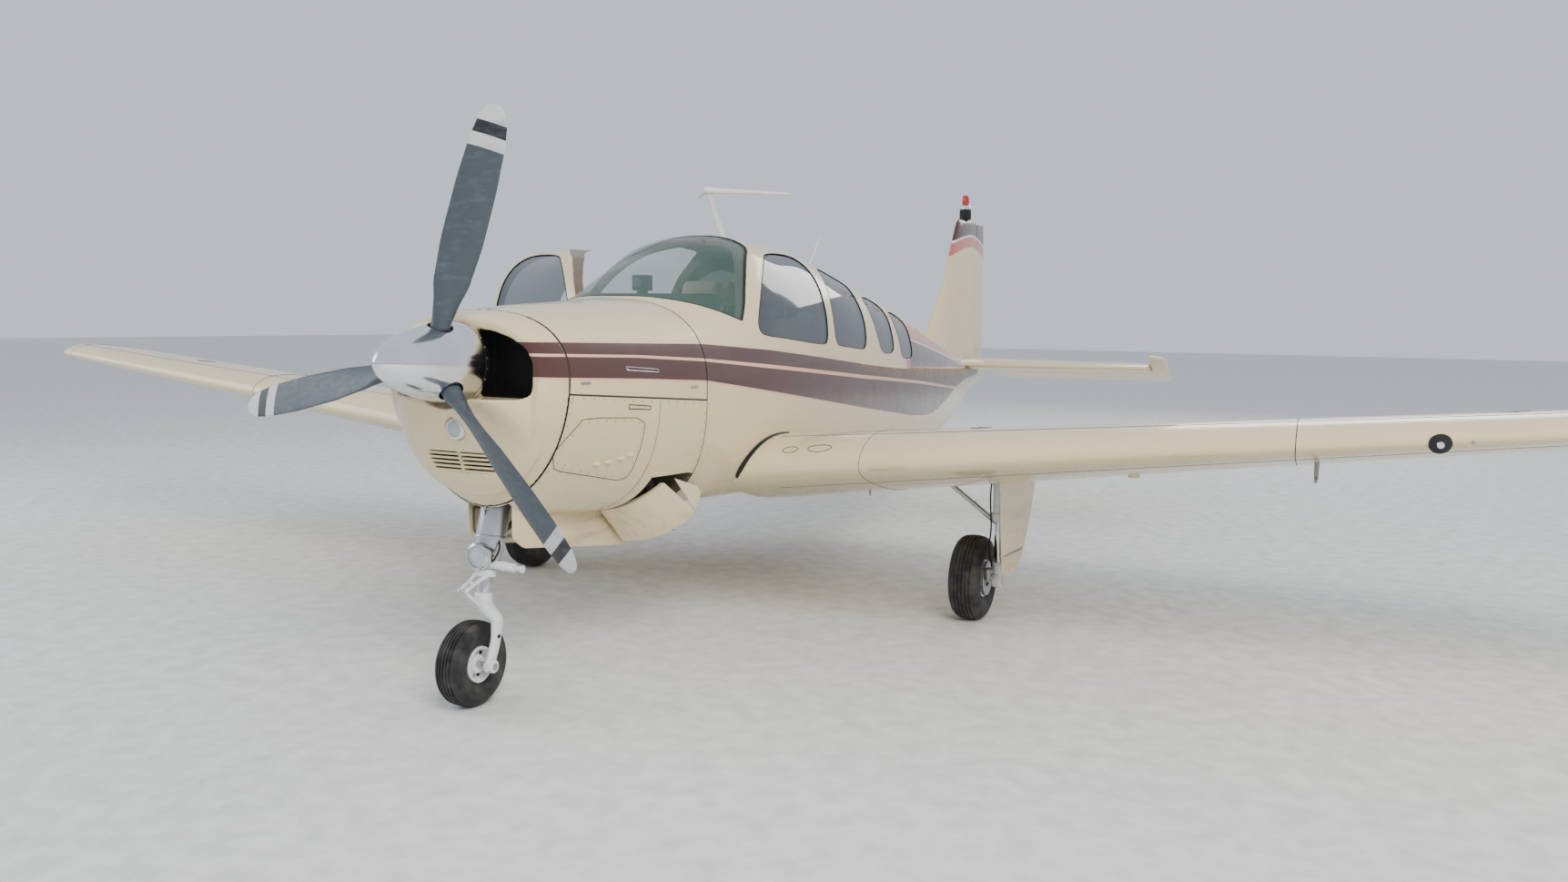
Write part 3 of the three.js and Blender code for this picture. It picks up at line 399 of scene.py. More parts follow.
# %% The material builder
class Finish:
    def __init__(self, name, color, **sockets):
        self.material = bpy.data.materials.new(name)
        self.material.use_nodes = True
        self.tree = self.material.node_tree
        self.shader = self.tree.nodes["Principled BSDF"]
        self.shader.inputs["Base Color"].default_value = (*color, 1)
        self.place = self.add("TexCoord", 3)
        for key, value in sockets.items():
            self.shader.inputs[key.replace("_", " ").title().replace("Ior", "IOR")].default_value = value

    def add(self, kind, out, *inputs, **settings):
        node = self.tree.nodes.new("ShaderNode" + kind)
        for key, value in settings.items():
            setattr(node, key, value)
        for socket, value in zip(node.inputs, inputs):
            if isinstance(value, bpy.types.NodeSocket):
                self.tree.links.new(value, socket)
            elif value is not None:
                socket.default_value = value
        return node.outputs[out]

    def math(self, operation, *inputs):
        return self.add("Math", 0, *inputs, operation=operation)

    def mix(self, share, a, b, blend="MIX"):
        node = self.tree.nodes.new("ShaderNodeMix")
        node.data_type = "RGBA"
        node.blend_type = blend
        for index, value in ((0, share), (6, a), (7, b)):
            if isinstance(value, bpy.types.NodeSocket):
                self.tree.links.new(value, node.inputs[index])
            else:
                node.inputs[index].default_value = value
        return node.outputs[2]

    def stretch(self, value, low, high, to_low=0.0, to_high=1.0):
        return self.add("MapRange", 0, value, low, high, to_low, to_high)

    def noise(self, scale, detail=3, vector=None):
        return self.add("TexNoise", 0, vector or self.place, None, scale, detail, 0.55)

    def scaled(self, x, y, z):
        return self.add("Mapping", 0, self.place, None, None, (x, y, z))

    def bump(self, height, strength, distance=0.001, normal=None):
        return self.add("Bump", 0, strength, distance, None, height, normal)

    def done(self, color, roughness, normal=None):
        for value, socket in ((color, "Base Color"), (roughness, "Roughness"), (normal, "Normal")):
            if value is not None:
                self.tree.links.new(value, self.shader.inputs[socket])
        return self.material


def tint(color, factor):
    return tuple(min(1.0, part * factor) for part in color[:3]) + (1,)


print("helpers ready")

# %% [markdown]
# ## Paint
# The real finish is a two-coat enamel under a clear coat: cream all over, with two brown bands and
# thin pink lines that sweep from the nose to the tail. The bands are drawn in the material. Each edge
# is a Float Curve that gives the height of the edge at a station, and a band is what lies under one
# edge and over the next, so the paint runs on across doors and seams as it does on the aircraft.

# %% Colours and the striped enamel
def srgb(red, green, blue):
    return tuple(((part / 255 + 0.055) / 1.055) ** 2.4 for part in (red, green, blue))


CREAM = srgb(222, 204, 162)
BROWN = srgb(74, 40, 32)
PINK = srgb(232, 182, 152)
SALMON = srgb(196, 104, 92)
WHITE = srgb(226, 226, 224)

# Edges of the bands: station from the propeller and height, in metres
BAND_TOP = [(0.0, 1.522), (0.243, 1.521), (0.784, 1.511), (1.268, 1.502), (1.902, 1.461), (2.49, 1.413),
            (3.269, 1.348), (3.9, 1.304), (4.34, 1.28), (4.45, 1.483), (5.08, 1.414), (6.157, 1.295),
            (7.6, 1.15)]
LINE_TOP = [(0.0, 1.482), (0.309, 1.474), (0.75, 1.461), (1.259, 1.434), (1.903, 1.386), (3.273, 1.28),
            (4.589, 1.187), (5.913, 1.08), (7.6, 0.95)]
LINE_LOW = [(0.0, 1.470), (0.305, 1.463), (0.745, 1.45), (1.256, 1.421), (1.902, 1.367), (3.274, 1.258),
            (4.592, 1.167), (5.913, 1.062), (7.6, 0.935)]
BAND_LOW = [(0.0, 1.392), (0.194, 1.384), (0.724, 1.361), (1.24, 1.333), (1.903, 1.249), (2.501, 1.173),
            (3.301, 1.074), (4.455, 0.944), (4.946, 0.907), (5.2, 0.9), (5.455, 0.921), (5.916, 0.996),
            (6.2, 1.057), (6.7, 1.1), (7.6, 1.12)]
REAR_TOP = [(0.0, 1.0), (4.2, 1.1), (4.329, 1.664), (4.607, 1.614), (5.134, 1.545), (5.562, 1.447),
            (6.3, 1.33), (7.6, 1.1)]
CURVE_LENGTH = 8.5
CURVE_HEIGHT = 2.0
REAR_START = 4.40
GRIME = 0.48


class Enamel(Finish):
    def __init__(self, name, back=None):
        super().__init__(name, CREAM, coat_weight=0.6, coat_roughness=0.06, specular_ior_level=0.45)
        if back:
            pivot, degrees = back
            self.place = self.add("VectorRotate", 0, self.place, pivot, (0, 0, 1), math.radians(-degrees))
        self.x = self.add("SeparateXYZ", 0, self.place)
        self.y = self.x.node.outputs[1]
        self.z = self.x.node.outputs[2]

    def over(self, edge, rise=0.0):
        """1 above an edge and 0 below it, with a soft millimetre between."""
        station = self.stretch(self.y, -MIDDLE / 1000, CURVE_LENGTH - MIDDLE / 1000)
        node = self.tree.nodes.new("ShaderNodeFloatCurve")
        curve = node.mapping.curves[0]
        while len(curve.points) < len(edge):
            curve.points.new(0.5, 0.5)
        for point, (along, height) in zip(curve.points, edge):
            point.location = (along / CURVE_LENGTH, height / CURVE_HEIGHT)
            point.handle_type = "VECTOR"
        node.mapping.update()
        self.tree.links.new(station, node.inputs[1])
        height = self.math("MULTIPLY_ADD", node.outputs[0], CURVE_HEIGHT, rise)
        return self.math("MULTIPLY_ADD", self.math("SUBTRACT", self.z, height), 800, 0.5)

    def between(self, low, high):
        """The share between two masks, held from 0 to 1."""
        inside = self.math("MINIMUM", low, self.math("SUBTRACT", 1, high))
        return self.add("Clamp", 0, inside)

    def sides_only(self, share):
        """Keeps a share off the middle of the belly and the top."""
        far = self.math("GREATER_THAN", self.math("ABSOLUTE", self.x), 0.05)
        return self.math("MULTIPLY", share, far)

    def weathered(self, color):
        """Slow cloudy tone, finer mottling, and grime that gathers under the belly."""
        clouds = self.stretch(self.noise(1.3, 4), 0.3, 0.7, 0.94, 1.05)
        fine = self.stretch(self.noise(45, 2), 0.3, 0.7, 0.985, 1.012)
        tone = self.math("MULTIPLY", clouds, fine)
        toned = self.mix(1.0, color, self.add("CombineColor", 0, tone, tone, tone), "MULTIPLY")
        streaks = self.stretch(self.noise(1, 4, self.scaled(22, 1.2, 14)), 0.52, 0.78)
        belly = self.stretch(self.z, 0.9, 0.62)
        dirt = self.math("MULTIPLY", self.math("MULTIPLY", streaks, belly), GRIME)
        return self.mix(self.add("Clamp", 0, dirt), toned, (*srgb(96, 84, 66), 1))

    def finished(self, color):
        peel = self.bump(self.noise(160, 1), 0.05, 0.0006)
        ripple = self.bump(self.noise(3.5, 2), 0.10, 0.004, peel)
        gloss = self.stretch(self.noise(6, 3), 0.3, 0.7, 0.22, 0.34)
        return self.done(self.weathered(color), gloss, ripple)


def hull_paint(name, back=None):
    """Cream with the fuselage's bands, and the salmon field behind the last window."""
    enamel = Enamel(name, back)
    top = enamel.over(BAND_TOP)
    line_top = enamel.over(LINE_TOP)
    line_low = enamel.over(LINE_LOW)
    low = enamel.over(BAND_LOW)
    color = (*CREAM, 1)
    rear = enamel.between(top, enamel.over(REAR_TOP))
    color = enamel.mix(enamel.sides_only(rear), color, (*SALMON, 1))
    white = enamel.between(top, enamel.over(BAND_TOP, 0.012))
    dark = enamel.between(enamel.over(REAR_TOP), enamel.over(REAR_TOP, 0.007))
    behind = enamel.math("GREATER_THAN", enamel.y, REAR_START - MIDDLE / 1000)
    color = enamel.mix(enamel.math("MULTIPLY", dark, behind), color, (*BROWN, 1))
    color = enamel.mix(enamel.math("MULTIPLY", white, behind), color, (*WHITE, 1))
    color = enamel.mix(enamel.between(low, top), color, (*BROWN, 1))
    color = enamel.mix(enamel.between(line_low, line_top), color, (*PINK, 1))
    color = enamel.mix(enamel.between(enamel.over(BAND_LOW, -0.009), low), color, (*PINK, 1))
    return enamel.finished(color)


hull = hull_paint("hull enamel")
cream = Enamel("cream enamel").finished((*CREAM, 1))
print("enamels", hull.name, cream.name)

# %% [markdown]
# ## Metals, rubber and plastics
# Each has what the eye expects at its scale: turning marks and small scratches on polished metal,
# brushed grain, the mottled skin of a casting, patchy dust on a tyre, grain on a panel.

# %% Metal and rubber
def polished(name, color, scratches=0.12):
    finish = Finish(name, color, metallic=1.0)
    fine = finish.noise(90, 4, finish.scaled(1, 14, 1))
    wear = finish.stretch(finish.noise(7, 4), 0.4, 0.75)
    rough = finish.math("MULTIPLY_ADD", wear, scratches, finish.stretch(fine, 0.3, 0.7, 0.07, 0.14))
    shade = finish.mix(wear, (*color, 1), tint(color, 0.86))
    return finish.done(shade, rough, finish.bump(fine, 0.035, 0.0005))


def brushed(name, color, base=0.34):
    finish = Finish(name, color, metallic=1.0)
    grain = finish.noise(60, 4, finish.scaled(9, 9, 1))
    blotch = finish.stretch(finish.noise(5, 3), 0.35, 0.7)
    rough = finish.math("MULTIPLY_ADD", blotch, 0.16,
                        finish.stretch(grain, 0.3, 0.7, base - 0.08, base + 0.08))
    shade = finish.mix(blotch, tint(color, 1.06), tint(color, 0.74))
    return finish.done(shade, rough, finish.bump(grain, 0.12, 0.0006))


def coated(name, color, base=0.4, grain=130, relief=0.1, **sockets):
    """Paint, plastic or lacquer in one colour, with its skin, its tone and a little wear."""
    finish = Finish(name, color, **sockets)
    skin = finish.noise(grain, 3)
    blotch = finish.stretch(finish.noise(9, 4), 0.35, 0.7)
    rough = finish.math("MULTIPLY_ADD", blotch, 0.14,
                        finish.stretch(skin, 0.3, 0.7, base - 0.05, base + 0.05))
    shade = finish.mix(blotch, tint(color, 1.05), tint(color, 0.85))
    return finish.done(shade, rough, finish.bump(skin, relief, 0.0006))


def rubber(name):
    finish = Finish(name, srgb(40, 40, 42), specular_ior_level=0.35)
    skin = finish.noise(210, 3)
    dust = finish.stretch(finish.noise(14, 5), 0.42, 0.72)
    shade = finish.mix(finish.math("MULTIPLY", dust, 0.55), (*srgb(34, 34, 36), 1), (*srgb(96, 92, 86), 1))
    return finish.done(shade, finish.stretch(dust, 0, 1, 0.55, 0.85), finish.bump(skin, 0.25, 0.0008))


chrome = polished("polished aluminium", srgb(236, 238, 242))
mirror_steel = polished("chromed steel", srgb(214, 216, 220), 0.06)
housing = brushed("brushed steel", srgb(190, 193, 197))
bare_metal = brushed("weathered alloy", srgb(168, 166, 160), 0.42)
white_enamel = coated("white enamel", srgb(226, 227, 228), 0.3, coat_weight=0.4)
black_rubber = rubber("tyre rubber")
seal_rubber = coated("seal rubber", srgb(20, 20, 22), 0.55, 180, 0.2)
black_trim = coated("black trim", srgb(30, 30, 33), 0.6, 240, 0.3)
# Near-black painted shade, put where only shade is seen: deep in the nose's inlets, inside the lower cowl,
# behind the grille and in the holes of the wheels and the fork.
shade_black = coated("painted shade black", srgb(17, 16, 16), 0.8, 60, 0.4)
tan_lining = coated("tan lining", srgb(112, 101, 84), 0.8, 260, 0.35, sheen_weight=0.3)
baffle = coated("sand baffle", srgb(176, 150, 104), 0.55, 40, 0.3)
carpet = coated("brown carpet", srgb(62, 46, 36), 0.95, 420, 0.8, sheen_weight=0.5)
red_lens = coated("red lens", srgb(176, 12, 20), 0.1, 30, 0.02, coat_weight=1.0)
iron = coated("grey crankcase", srgb(92, 90, 86), 0.55, 70, 0.5, metallic=0.6)
print("metals and trims ready")


# %% Glass
def glazing(name, color, alpha, rough=0.03):
    """A tinted pane: dark and mirror-like, but the cabin shows through it."""
    finish = Finish(name, color, specular_ior_level=0.7, coat_weight=1.0, coat_roughness=0.02)
    smears = finish.stretch(finish.noise(3, 4), 0.45, 0.8, rough, rough + 0.09)
    shade = finish.mix(finish.stretch(finish.noise(2, 3), 0.3, 0.7), tint(color, 0.9), tint(color, 1.15))
    finish.shader.inputs["Alpha"].default_value = alpha
    return finish.done(shade, smears)


blue_glass = glazing("blue tinted pane", srgb(40, 56, 68), 0.62)
green_glass = glazing("green tinted windscreen", srgb(70, 104, 92), 0.34)
clear_glass = glazing("lamp glass", srgb(220, 226, 230), 0.35)
print("glazing ready")

# %% [markdown]
# ## The hull as a formula
# Each row of the table is one frame of the fuselage: how wide it is, how high its bottom, waist and
# top are, and how square its lower and upper halves. A smooth curve runs through the rows, and
# `skin_x` and `skin_z` say where the surface is, so that seams, rivets and glass lie on it exactly.

# %% Fuselage sections
SECTIONS = [
    [175, 375, 1010, 1382, 1605, 2.0, 2.4],
    [200, 405, 950, 1380, 1628, 2.0, 2.4],
    [350, 440, 800, 1360, 1650, 1.9, 2.4],
    [600, 475, 750, 1340, 1672, 2.1, 2.4],
    [900, 510, 722, 1320, 1690, 2.4, 2.4],
    [1220, 545, 705, 1300, 1712, 2.8, 2.5],
    [1290, 549, 701, 1300, 1722, 2.8, 2.5],
    [1450, 562, 690, 1300, 1811, 3.0, 2.2],
    [1600, 570, 680, 1300, 1892, 3.0, 2.2],
    [1750, 576, 671, 1300, 1955, 3.0, 2.3],
    [1900, 581, 662, 1300, 2030, 3.0, 2.45],
    [2100, 584, 648, 1300, 2068, 3.0, 2.5],
    [2350, 585, 632, 1300, 2054, 3.0, 2.65],
    [2700, 580, 612, 1290, 2046, 3.0, 2.7],
    [3100, 567, 600, 1280, 1983, 3.0, 2.65],
    [3800, 530, 587, 1250, 1867, 2.9, 2.5],
    [4500, 475, 582, 1220, 1754, 2.8, 2.35],
    [5300, 390, 592, 1190, 1622, 2.6, 2.15],
    [6000, 305, 620, 1170, 1482, 2.4, 1.95],
    [6600, 225, 690, 1160, 1315, 2.2, 1.85],
    [7200, 140, 900, 1160, 1268, 2.0, 1.8],
    [7600, 95, 1010, 1160, 1262, 2.0, 1.8],
]
CHIN = [
    [62, 200, 1262, 1318, 1332, 3.0, 6],
    [100, 268, 1180, 1320, 1333, 3.0, 6],
    [150, 322, 1072, 1322, 1334, 2.8, 6],
    [200, 360, 945, 1322, 1334, 2.5, 6],
    [245, 385, 878, 1322, 1334, 2.2, 6],
]


def row_at(table, y):
    """A frame at any place, on a smooth curve through the table."""
    last = len(table) - 1
    at = max(0, min(last - 1, sum(row[0] <= y for row in table) - 1))
    a, b = np.array(table[at], float), np.array(table[at + 1], float)
    before, after = np.array(table[max(0, at - 1)], float), np.array(table[min(last, at + 2)], float)
    width = b[0] - a[0]
    t = (y - a[0]) / width
    leave = (b - before) / (b[0] - before[0]) * width
    reach = (after - a) / (after[0] - a[0]) * width
    rise = b - a
    row = a + t * leave + t * t * (3 * rise - 2 * leave - reach) + t ** 3 * (leave + reach - 2 * rise)
    row[0] = y
    return row


def ring(row, draw=0.0, quarter=24):
    """One frame as points spaced evenly along its edge."""
    y, half, bottom, widest, top, lower, upper = row
    turn = np.linspace(0, math.pi / 2, 500)
    quarters = []
    for power, rise in ((upper, top - widest - draw), (lower, bottom + draw - widest)):
        x = (half - draw) * np.cos(turn) ** (2 / power)
        z = rise * np.sin(turn) ** (2 / power)
        arc = np.concatenate([[0], np.cumsum(np.hypot(np.diff(x), np.diff(z)))])
        even = np.linspace(0, arc[-1], quarter + 1)
        quarters.append((np.interp(even, arc, x), widest + np.interp(even, arc, z)))
    (ux, uz), (lx, lz) = quarters
    x = np.concatenate([ux[:-1], -ux[:0:-1], -lx[:-1], lx[:0:-1]])
    z = np.concatenate([uz[:-1], uz[:0:-1], lz[:-1], lz[:0:-1]])
    return np.stack([x, np.full_like(x, y), z], axis=1)


def fuselage(front, rear, draw=0.0, step=42, quarter=24):
    places = np.linspace(front, rear, max(2, round((rear - front) / step) + 1))
    return loft([ring(row_at(SECTIONS, y), draw, quarter) for y in places])


def skin_x(y, z, draw=0.0):
    """Half the width of the hull at a station and a height."""
    _, half, bottom, widest, top, lower, upper = row_at(SECTIONS, y)
    power, rise = (upper, top - widest) if z > widest else (lower, widest - bottom)
    return (half - draw) * max(0.0, 1 - abs((z - widest) / (rise - draw)) ** power) ** (1 / power)


def skin_z(y, x, draw=0.0, side=1):
    """The height of the hull's top, or its bottom with side -1, beside the middle line."""
    _, half, bottom, widest, top, lower, upper = row_at(SECTIONS, y)
    power, rise = (upper, top - widest) if side > 0 else (lower, widest - bottom)
    return widest + side * (rise - draw) * max(0.0, 1 - abs(x / (half - draw)) ** power) ** (1 / power)


def skin_way(y, z):
    """The way that the port side faces at a station and a height."""
    x = skin_x(y, z)
    aft = Vector((skin_x(y + 10, z) - x, 10, 0))
    up = Vector((skin_x(y, z + 5) - skin_x(y, z - 5), 0, 10))
    way = up.cross(aft).normalized()
    return way if way.x > 0 else -way


def on_side(points, lift=0.0, sign=1):
    """Points of a side view, laid on the hull's port side, or starboard with sign -1."""
    spots = []
    for y, z in points:
        spot = Vector((skin_x(y, z), y, z)) + skin_way(y, z) * lift
        spots.append((sign * spot.x, spot.y, spot.z))
    return spots


def even(points, step=18, closed=False):
    """The same line with points at even steps."""
    points = np.asarray(points, dtype=float)
    if closed:
        points = np.vstack([points, points[:1]])
    arc = np.concatenate([[0], np.cumsum(np.linalg.norm(np.diff(points, axis=0), axis=1))])
    marks = np.linspace(0, arc[-1], max(2, int(arc[-1] / step) + 1))
    if closed:
        marks = marks[:-1]
    return np.stack([np.interp(marks, arc, points[:, i]) for i in range(points.shape[1])], axis=1)


def two_slots(piece):
    for _ in range(2):
        piece.data.materials.append(None)


def line_in(piece, depth=3.0):
    """Second finish for the faces of a shell that lie deeper than a depth under the outer skin."""
    two_slots(piece)
    for face in piece.data.polygons:
        spot = face.center * 1000
        y = min(max(spot.y + MIDDLE, SECTIONS[0][0]), SECTIONS[-1][0])
        _, half, bottom, widest, top, lower, upper = row_at(SECTIONS, y)
        power, rise = (upper, top - widest) if spot.z > widest else (lower, widest - bottom)
        out = (abs(spot.x / half) ** power + abs((spot.z - widest) / rise) ** power) ** (1 / power)
        if (1 - out) * min(half, rise) > depth:
            face.material_index = 1
    return piece


print("hull at the wing root is", round(2 * skin_x(2000, 900)), "mm wide")

# %% [markdown]
# ## The nose bowl
# On the aircraft this is one moulded shell: a lip round two inlets, a chin under them with a ledge
# on its top, a grille and a landing light. Every edge of it is soft. The lofts are joined and cut as
# in the CAD, and then a voxel remesh and a few smoothing rounds soften all the edges at once, which
# no bevel could do where so many curved cuts meet.

# %% Nose bowl
BOWL_REAR = 310
PROP_HUB_Z = 1437
PROP_TILT = math.radians(1.44)
PROP_TURN = math.radians(17.93)
FAR = 900
HIGH = 3000


def shaft(y):
    return (0, y, PROP_HUB_Z - y * math.tan(PROP_TILT))


def chin(front=62, rear=245):
    return loft([ring(row_at(CHIN, y)) for y in np.linspace(front, rear, 22)])


INLET = [[1296, 70], [1296, 318], [1322, 346], [1440, 350], [1492, 322], [1535, 250], [1562, 160],
         [1572, 70]]
GRILLE = [[-150, 988], [150, 988], [165, 1071], [-165, 1071]]
LIGHT = (20, 1171)


def add_bowl():
    bowl = carve(fuselage(176, BOWL_REAR, step=9), chin(), operation="UNION")
    inlet = prism(rounded([(x, z) for z, x in INLET], 22), 1, -60, BOWL_REAR - 12)
    carve(bowl, twin(inlet), inlet)
    carve(bowl, rod(shaft(-120), shaft(164), 184, sides=64, edge=0))
    carve(bowl, prism(rounded(GRILLE, 10), 1, 0, 225))
    carve(bowl, rod((LIGHT[0], 0, LIGHT[1]), (LIGHT[0], 230, LIGHT[1]), 46, sides=48, edge=0))
    apply(bowl, "REMESH", mode="VOXEL", voxel_size=0.0055, adaptivity=0.0)
    apply(bowl, "SMOOTH", factor=0.5, iterations=7)
    spine = carve(fuselage(305, 1249), fuselage(295, 1259, draw=15))
    carve(spine, block((-18, 0, 1500), (18, 1249, HIGH), edge=0), operation="INTERSECT")
    # Faces deep inside the inlets get the near-black finish, which is painted shade.
    two_slots(bowl)
    for face in bowl.data.polygons:
        x, y, z = face.center * 1000
        inside = y + MIDDLE > 205 + (1400 - z) * 0.04 and face.normal.y < 0.6
        hidden = abs(x) < skin_x(min(max(y + MIDDLE, 180), 305), z) - 14 and z > 1240
        face.material_index = 1 if inside and hidden and z < 1600 else 0
    dress(bowl, "nose_bowl_skin", "airframe", "paint", hull, shade_black, smooth=50, stands_for=("nose_bowl",))
    dress(spine, "cowl_spine", "airframe", "paint", hull)


add_bowl()

# %% [markdown]
# ## Engine
# The engine's block is closed inside the cowls, so the CAD node stays, in painted crankcase grey.

# %% Engine
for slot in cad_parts["engine_block"].material_slots:
    slot.material = iron
print("engine finished")

# %% [markdown]
# ## Chin, grille and landing light
# The grille is five slats across a hole with a bar down its middle. They are cut from the chin's own
# surface, so they follow its curve. The light is a chromed bowl with a lens in a ring.

# %% Grille and light
def add_grille():
    slats = weld(*[block((-170, 0, 986 + i * 18), (170, 232, 995 + i * 18), edge=2.5) for i in range(5)],
                 block((-6, 0, 980), (6, 232, 1080), edge=2))
    slats = carve(chin(rear=240), slats, operation="INTERSECT")
    dress(slats, "grille_slats", "airframe", "paint", cream, smooth=45)
    # A dark plate behind the slats is painted shade, standing for the dark inside of the grille's hole.
    back = block((-160, 224, 980), (160, 232, 1078), edge=2)
    dress(back, "grille_shade_plate", "airframe", "trim", shade_black)


def add_light():
    x, z = LIGHT
    front = 104
    ring_piece = lathe([(45, front + 6), (41, front - 3), (36, front - 5), (34, front), (34, front + 30),
                        (45, front + 30)], axis="Y", centre=(x, 0, z))
    dress(ring_piece, "light_ring", "airframe", "steel", white_enamel, smooth=50)
    bowl = lathe([(0, front + 46), (12, front + 44), (24, front + 34), (34.5, front + 8), (36, front + 8),
                  (36, front + 50), (0, front + 50)], axis="Y", centre=(x, 0, z))
    dress(bowl, "light_bowl", "airframe", "metal", mirror_steel, smooth=60)
    lens = lathe([(0, front + 1), (18, front + 2), (35, front + 6), (35, front + 9), (0, front + 6)],
                 axis="Y", centre=(x, 0, z))
    dress(lens, "light_lens", "airframe", "glass", clear_glass, smooth=60)
    bulb = lathe([(0, front + 18), (6, front + 20), (8, front + 27), (6, front + 38), (0, front + 42)],
                 axis="Y", centre=(x, 0, z), steps=24)
    dress(bulb, "light_bulb", "airframe", "metal", chrome, smooth=60)


add_grille()
add_light()

# %% [markdown]
# ## The cowl
# Thin skins: the lower cowl with the nose wheel's well, the two doors that hinge on the spine along
# the top, and the two cooling flaps that hang open at the rear. Each is the hull's own shell, cut
# with the same planes as its CAD node.

# %% Cowl skins
FIREWALL = 1250
COWL_WALL = 15
CLEAR = 7
WELL_HALF = 118
WELL_WALL = 14
FLAP_FRONT = 962
FLAP_INNER = WELL_HALF + WELL_WALL + CLEAR
FLAP_OUTER = 470
FLAP_DROOP = math.radians(-38)
COWL_HINGE = ((23, 318, 1646.6), (23, 1240, 1712.5))


def seam_height(y):
    """Where the cowl's doors meet its lower half, a line that falls towards the rear."""
    return 1318 - (y - 188) * 0.0754


def above_seam(lift):
    edge = [[y, seam_height(y) + lift] for y in (0, 2000)]
    return prism([*edge, [2000, HIGH], [0, HIGH]], 0, -FAR, FAR)


def cowl_skin():
    inner = fuselage(BOWL_REAR - 20, FIREWALL + 20, COWL_WALL, step=26)
    return carve(fuselage(BOWL_REAR + 1, FIREWALL - 1, step=26), inner)


def hinge_turn(pivot, axis, angle):
    """The matrix that turns a piece about a line through a place in millimetres."""
    to = Matrix.Translation(place(*pivot))
    return to @ Matrix.Rotation(angle, 4, Vector(axis)) @ to.inverted()


def add_cowl():
    lower = carve(cowl_skin(), above_seam(0))
    for sign in (1, -1):
        near, far = sorted((sign * WELL_HALF, sign * (WELL_HALF + WELL_WALL)))
        wall = carve(fuselage(BOWL_REAR + 1, FIREWALL - 1, step=26),
                     block((near, BOWL_REAR + 20, 600), (far, FIREWALL - 2, 930), edge=0),
                     operation="INTERSECT")
        carve(lower, wall, operation="UNION")
    carve(lower, block((-WELL_HALF, BOWL_REAR + 8, 600), (WELL_HALF, FIREWALL - 8, 930), edge=0))
    for low, high in ((FLAP_INNER, FLAP_OUTER), (-FLAP_OUTER, -FLAP_INNER)):
        carve(lower, block((low, FLAP_FRONT, 600), (high, FIREWALL + 10, 900), edge=0))
    # The lower cowl's inner faces get the near-black finish, which is painted shade.
    line_in(lower)
    dress(lower, "lower_cowl_skin", "airframe", "paint", hull, shade_black, stands_for=("lower_cowl",))

    door = carve(cowl_skin(), above_seam(CLEAR), operation="INTERSECT")
    carve(door, block((-FAR, 0, 0), (25, 2000, HIGH), edge=0))
    carve(door, block((-FAR, 0, 0), (FAR, BOWL_REAR + 5, HIGH), edge=0))
    carve(door, block((-FAR, FIREWALL - 5, 0), (FAR, 2000, HIGH), edge=0))
    line_in(door)
    hinge = rod(*COWL_HINGE, 4.2, sides=16, edge=0)
    for name, body, parts in (("left", "left_cowl", (door, hinge)),
                              ("right", "right_cowl", (twin(door), twin(hinge)))):
        dress(parts[0], f"{name}_cowl_door_skin", body, "paint", hull, baffle,
              stands_for=(f"{name}_cowl_door",))
        dress(parts[1], f"{name}_cowl_door_hinge", body, "steel", housing)


def add_cowl_flaps():
    room = block((FLAP_INNER + 3, FLAP_FRONT + 9, 600), (FLAP_OUTER - 3, 1236, 900), edge=0)
    flap = carve(cowl_skin(), room, operation="INTERSECT")
    for x in (FLAP_INNER + 3, FLAP_OUTER - 8):
        floor = skin_z(1100, x, side=-1)
        side = prism([[FLAP_FRONT + 12, floor + 8], [1234, floor - 10], [1234, floor + 82],
                      [1180, floor + 92]], 0, x, x + 4)
        flap = weld(flap, side)
    turn = hinge_turn((0, FLAP_FRONT + 4, 738), (1, 0, 0), FLAP_DROOP)
    flap.data.transform(turn)
    dress(flap, "left_cooling_flap", "airframe", "paint", cream, stands_for=("left_cowl_flap",))
    dress(twin(flap), "right_cooling_flap", "airframe", "paint", stands_for=("right_cowl_flap",))


add_cowl()
add_cowl_flaps()

# %% [markdown]
# ## Seams, rivets and fasteners
# At this distance a joint between two skins reads as a thin dark line, and the rows of rivets as a
# texture. The lines are dark tubes sunk half into the skin; the heads are domes on the surface.

# %% Details of the cowl's sides
PANEL = [(384, 987), (344, 1003), (306, 1064), (322, 1110), (401, 1205), (505, 1206), (735, 1191),
         (795, 1164), (797, 1062), (797, 925), (757, 908)]
LOUVRES = [(535, 1005), (603, 1006), (666, 1017), (721, 1028)]
LATCHES = [(397, 1355), (1143, 1308)]


def both_sides(make, name, body, slot, finish, smooth=40):
    """One merged piece from both sides' parts."""
    piece = weld(*[part for sign in (1, -1) for part in make(sign)])
    return dress(piece, name, body, slot, finish, smooth=smooth)


def seam_line(points, sign, radius=1.7, step=22, closed=False):
    return tube(on_side(even(points, step, closed), 0.2, sign), radius, 6, closed)


def cowl_seams(sign):
    seam = [(y, seam_height(y) + 3.5) for y in np.linspace(312, 1248, 24)]
    front = [(312, z) for z in np.linspace(760, 1620, 24)]
    rear = [(1249, z) for z in np.linspace(720, 1690, 24)]
    middle = [(890, z) for z in np.linspace(745, 1255, 18)]
    return [seam_line(seam, sign, 3.2), seam_line(front, sign), seam_line(rear, sign),
            seam_line(middle, sign, 1.1), seam_line(PANEL, sign, 1.6, closed=True)]


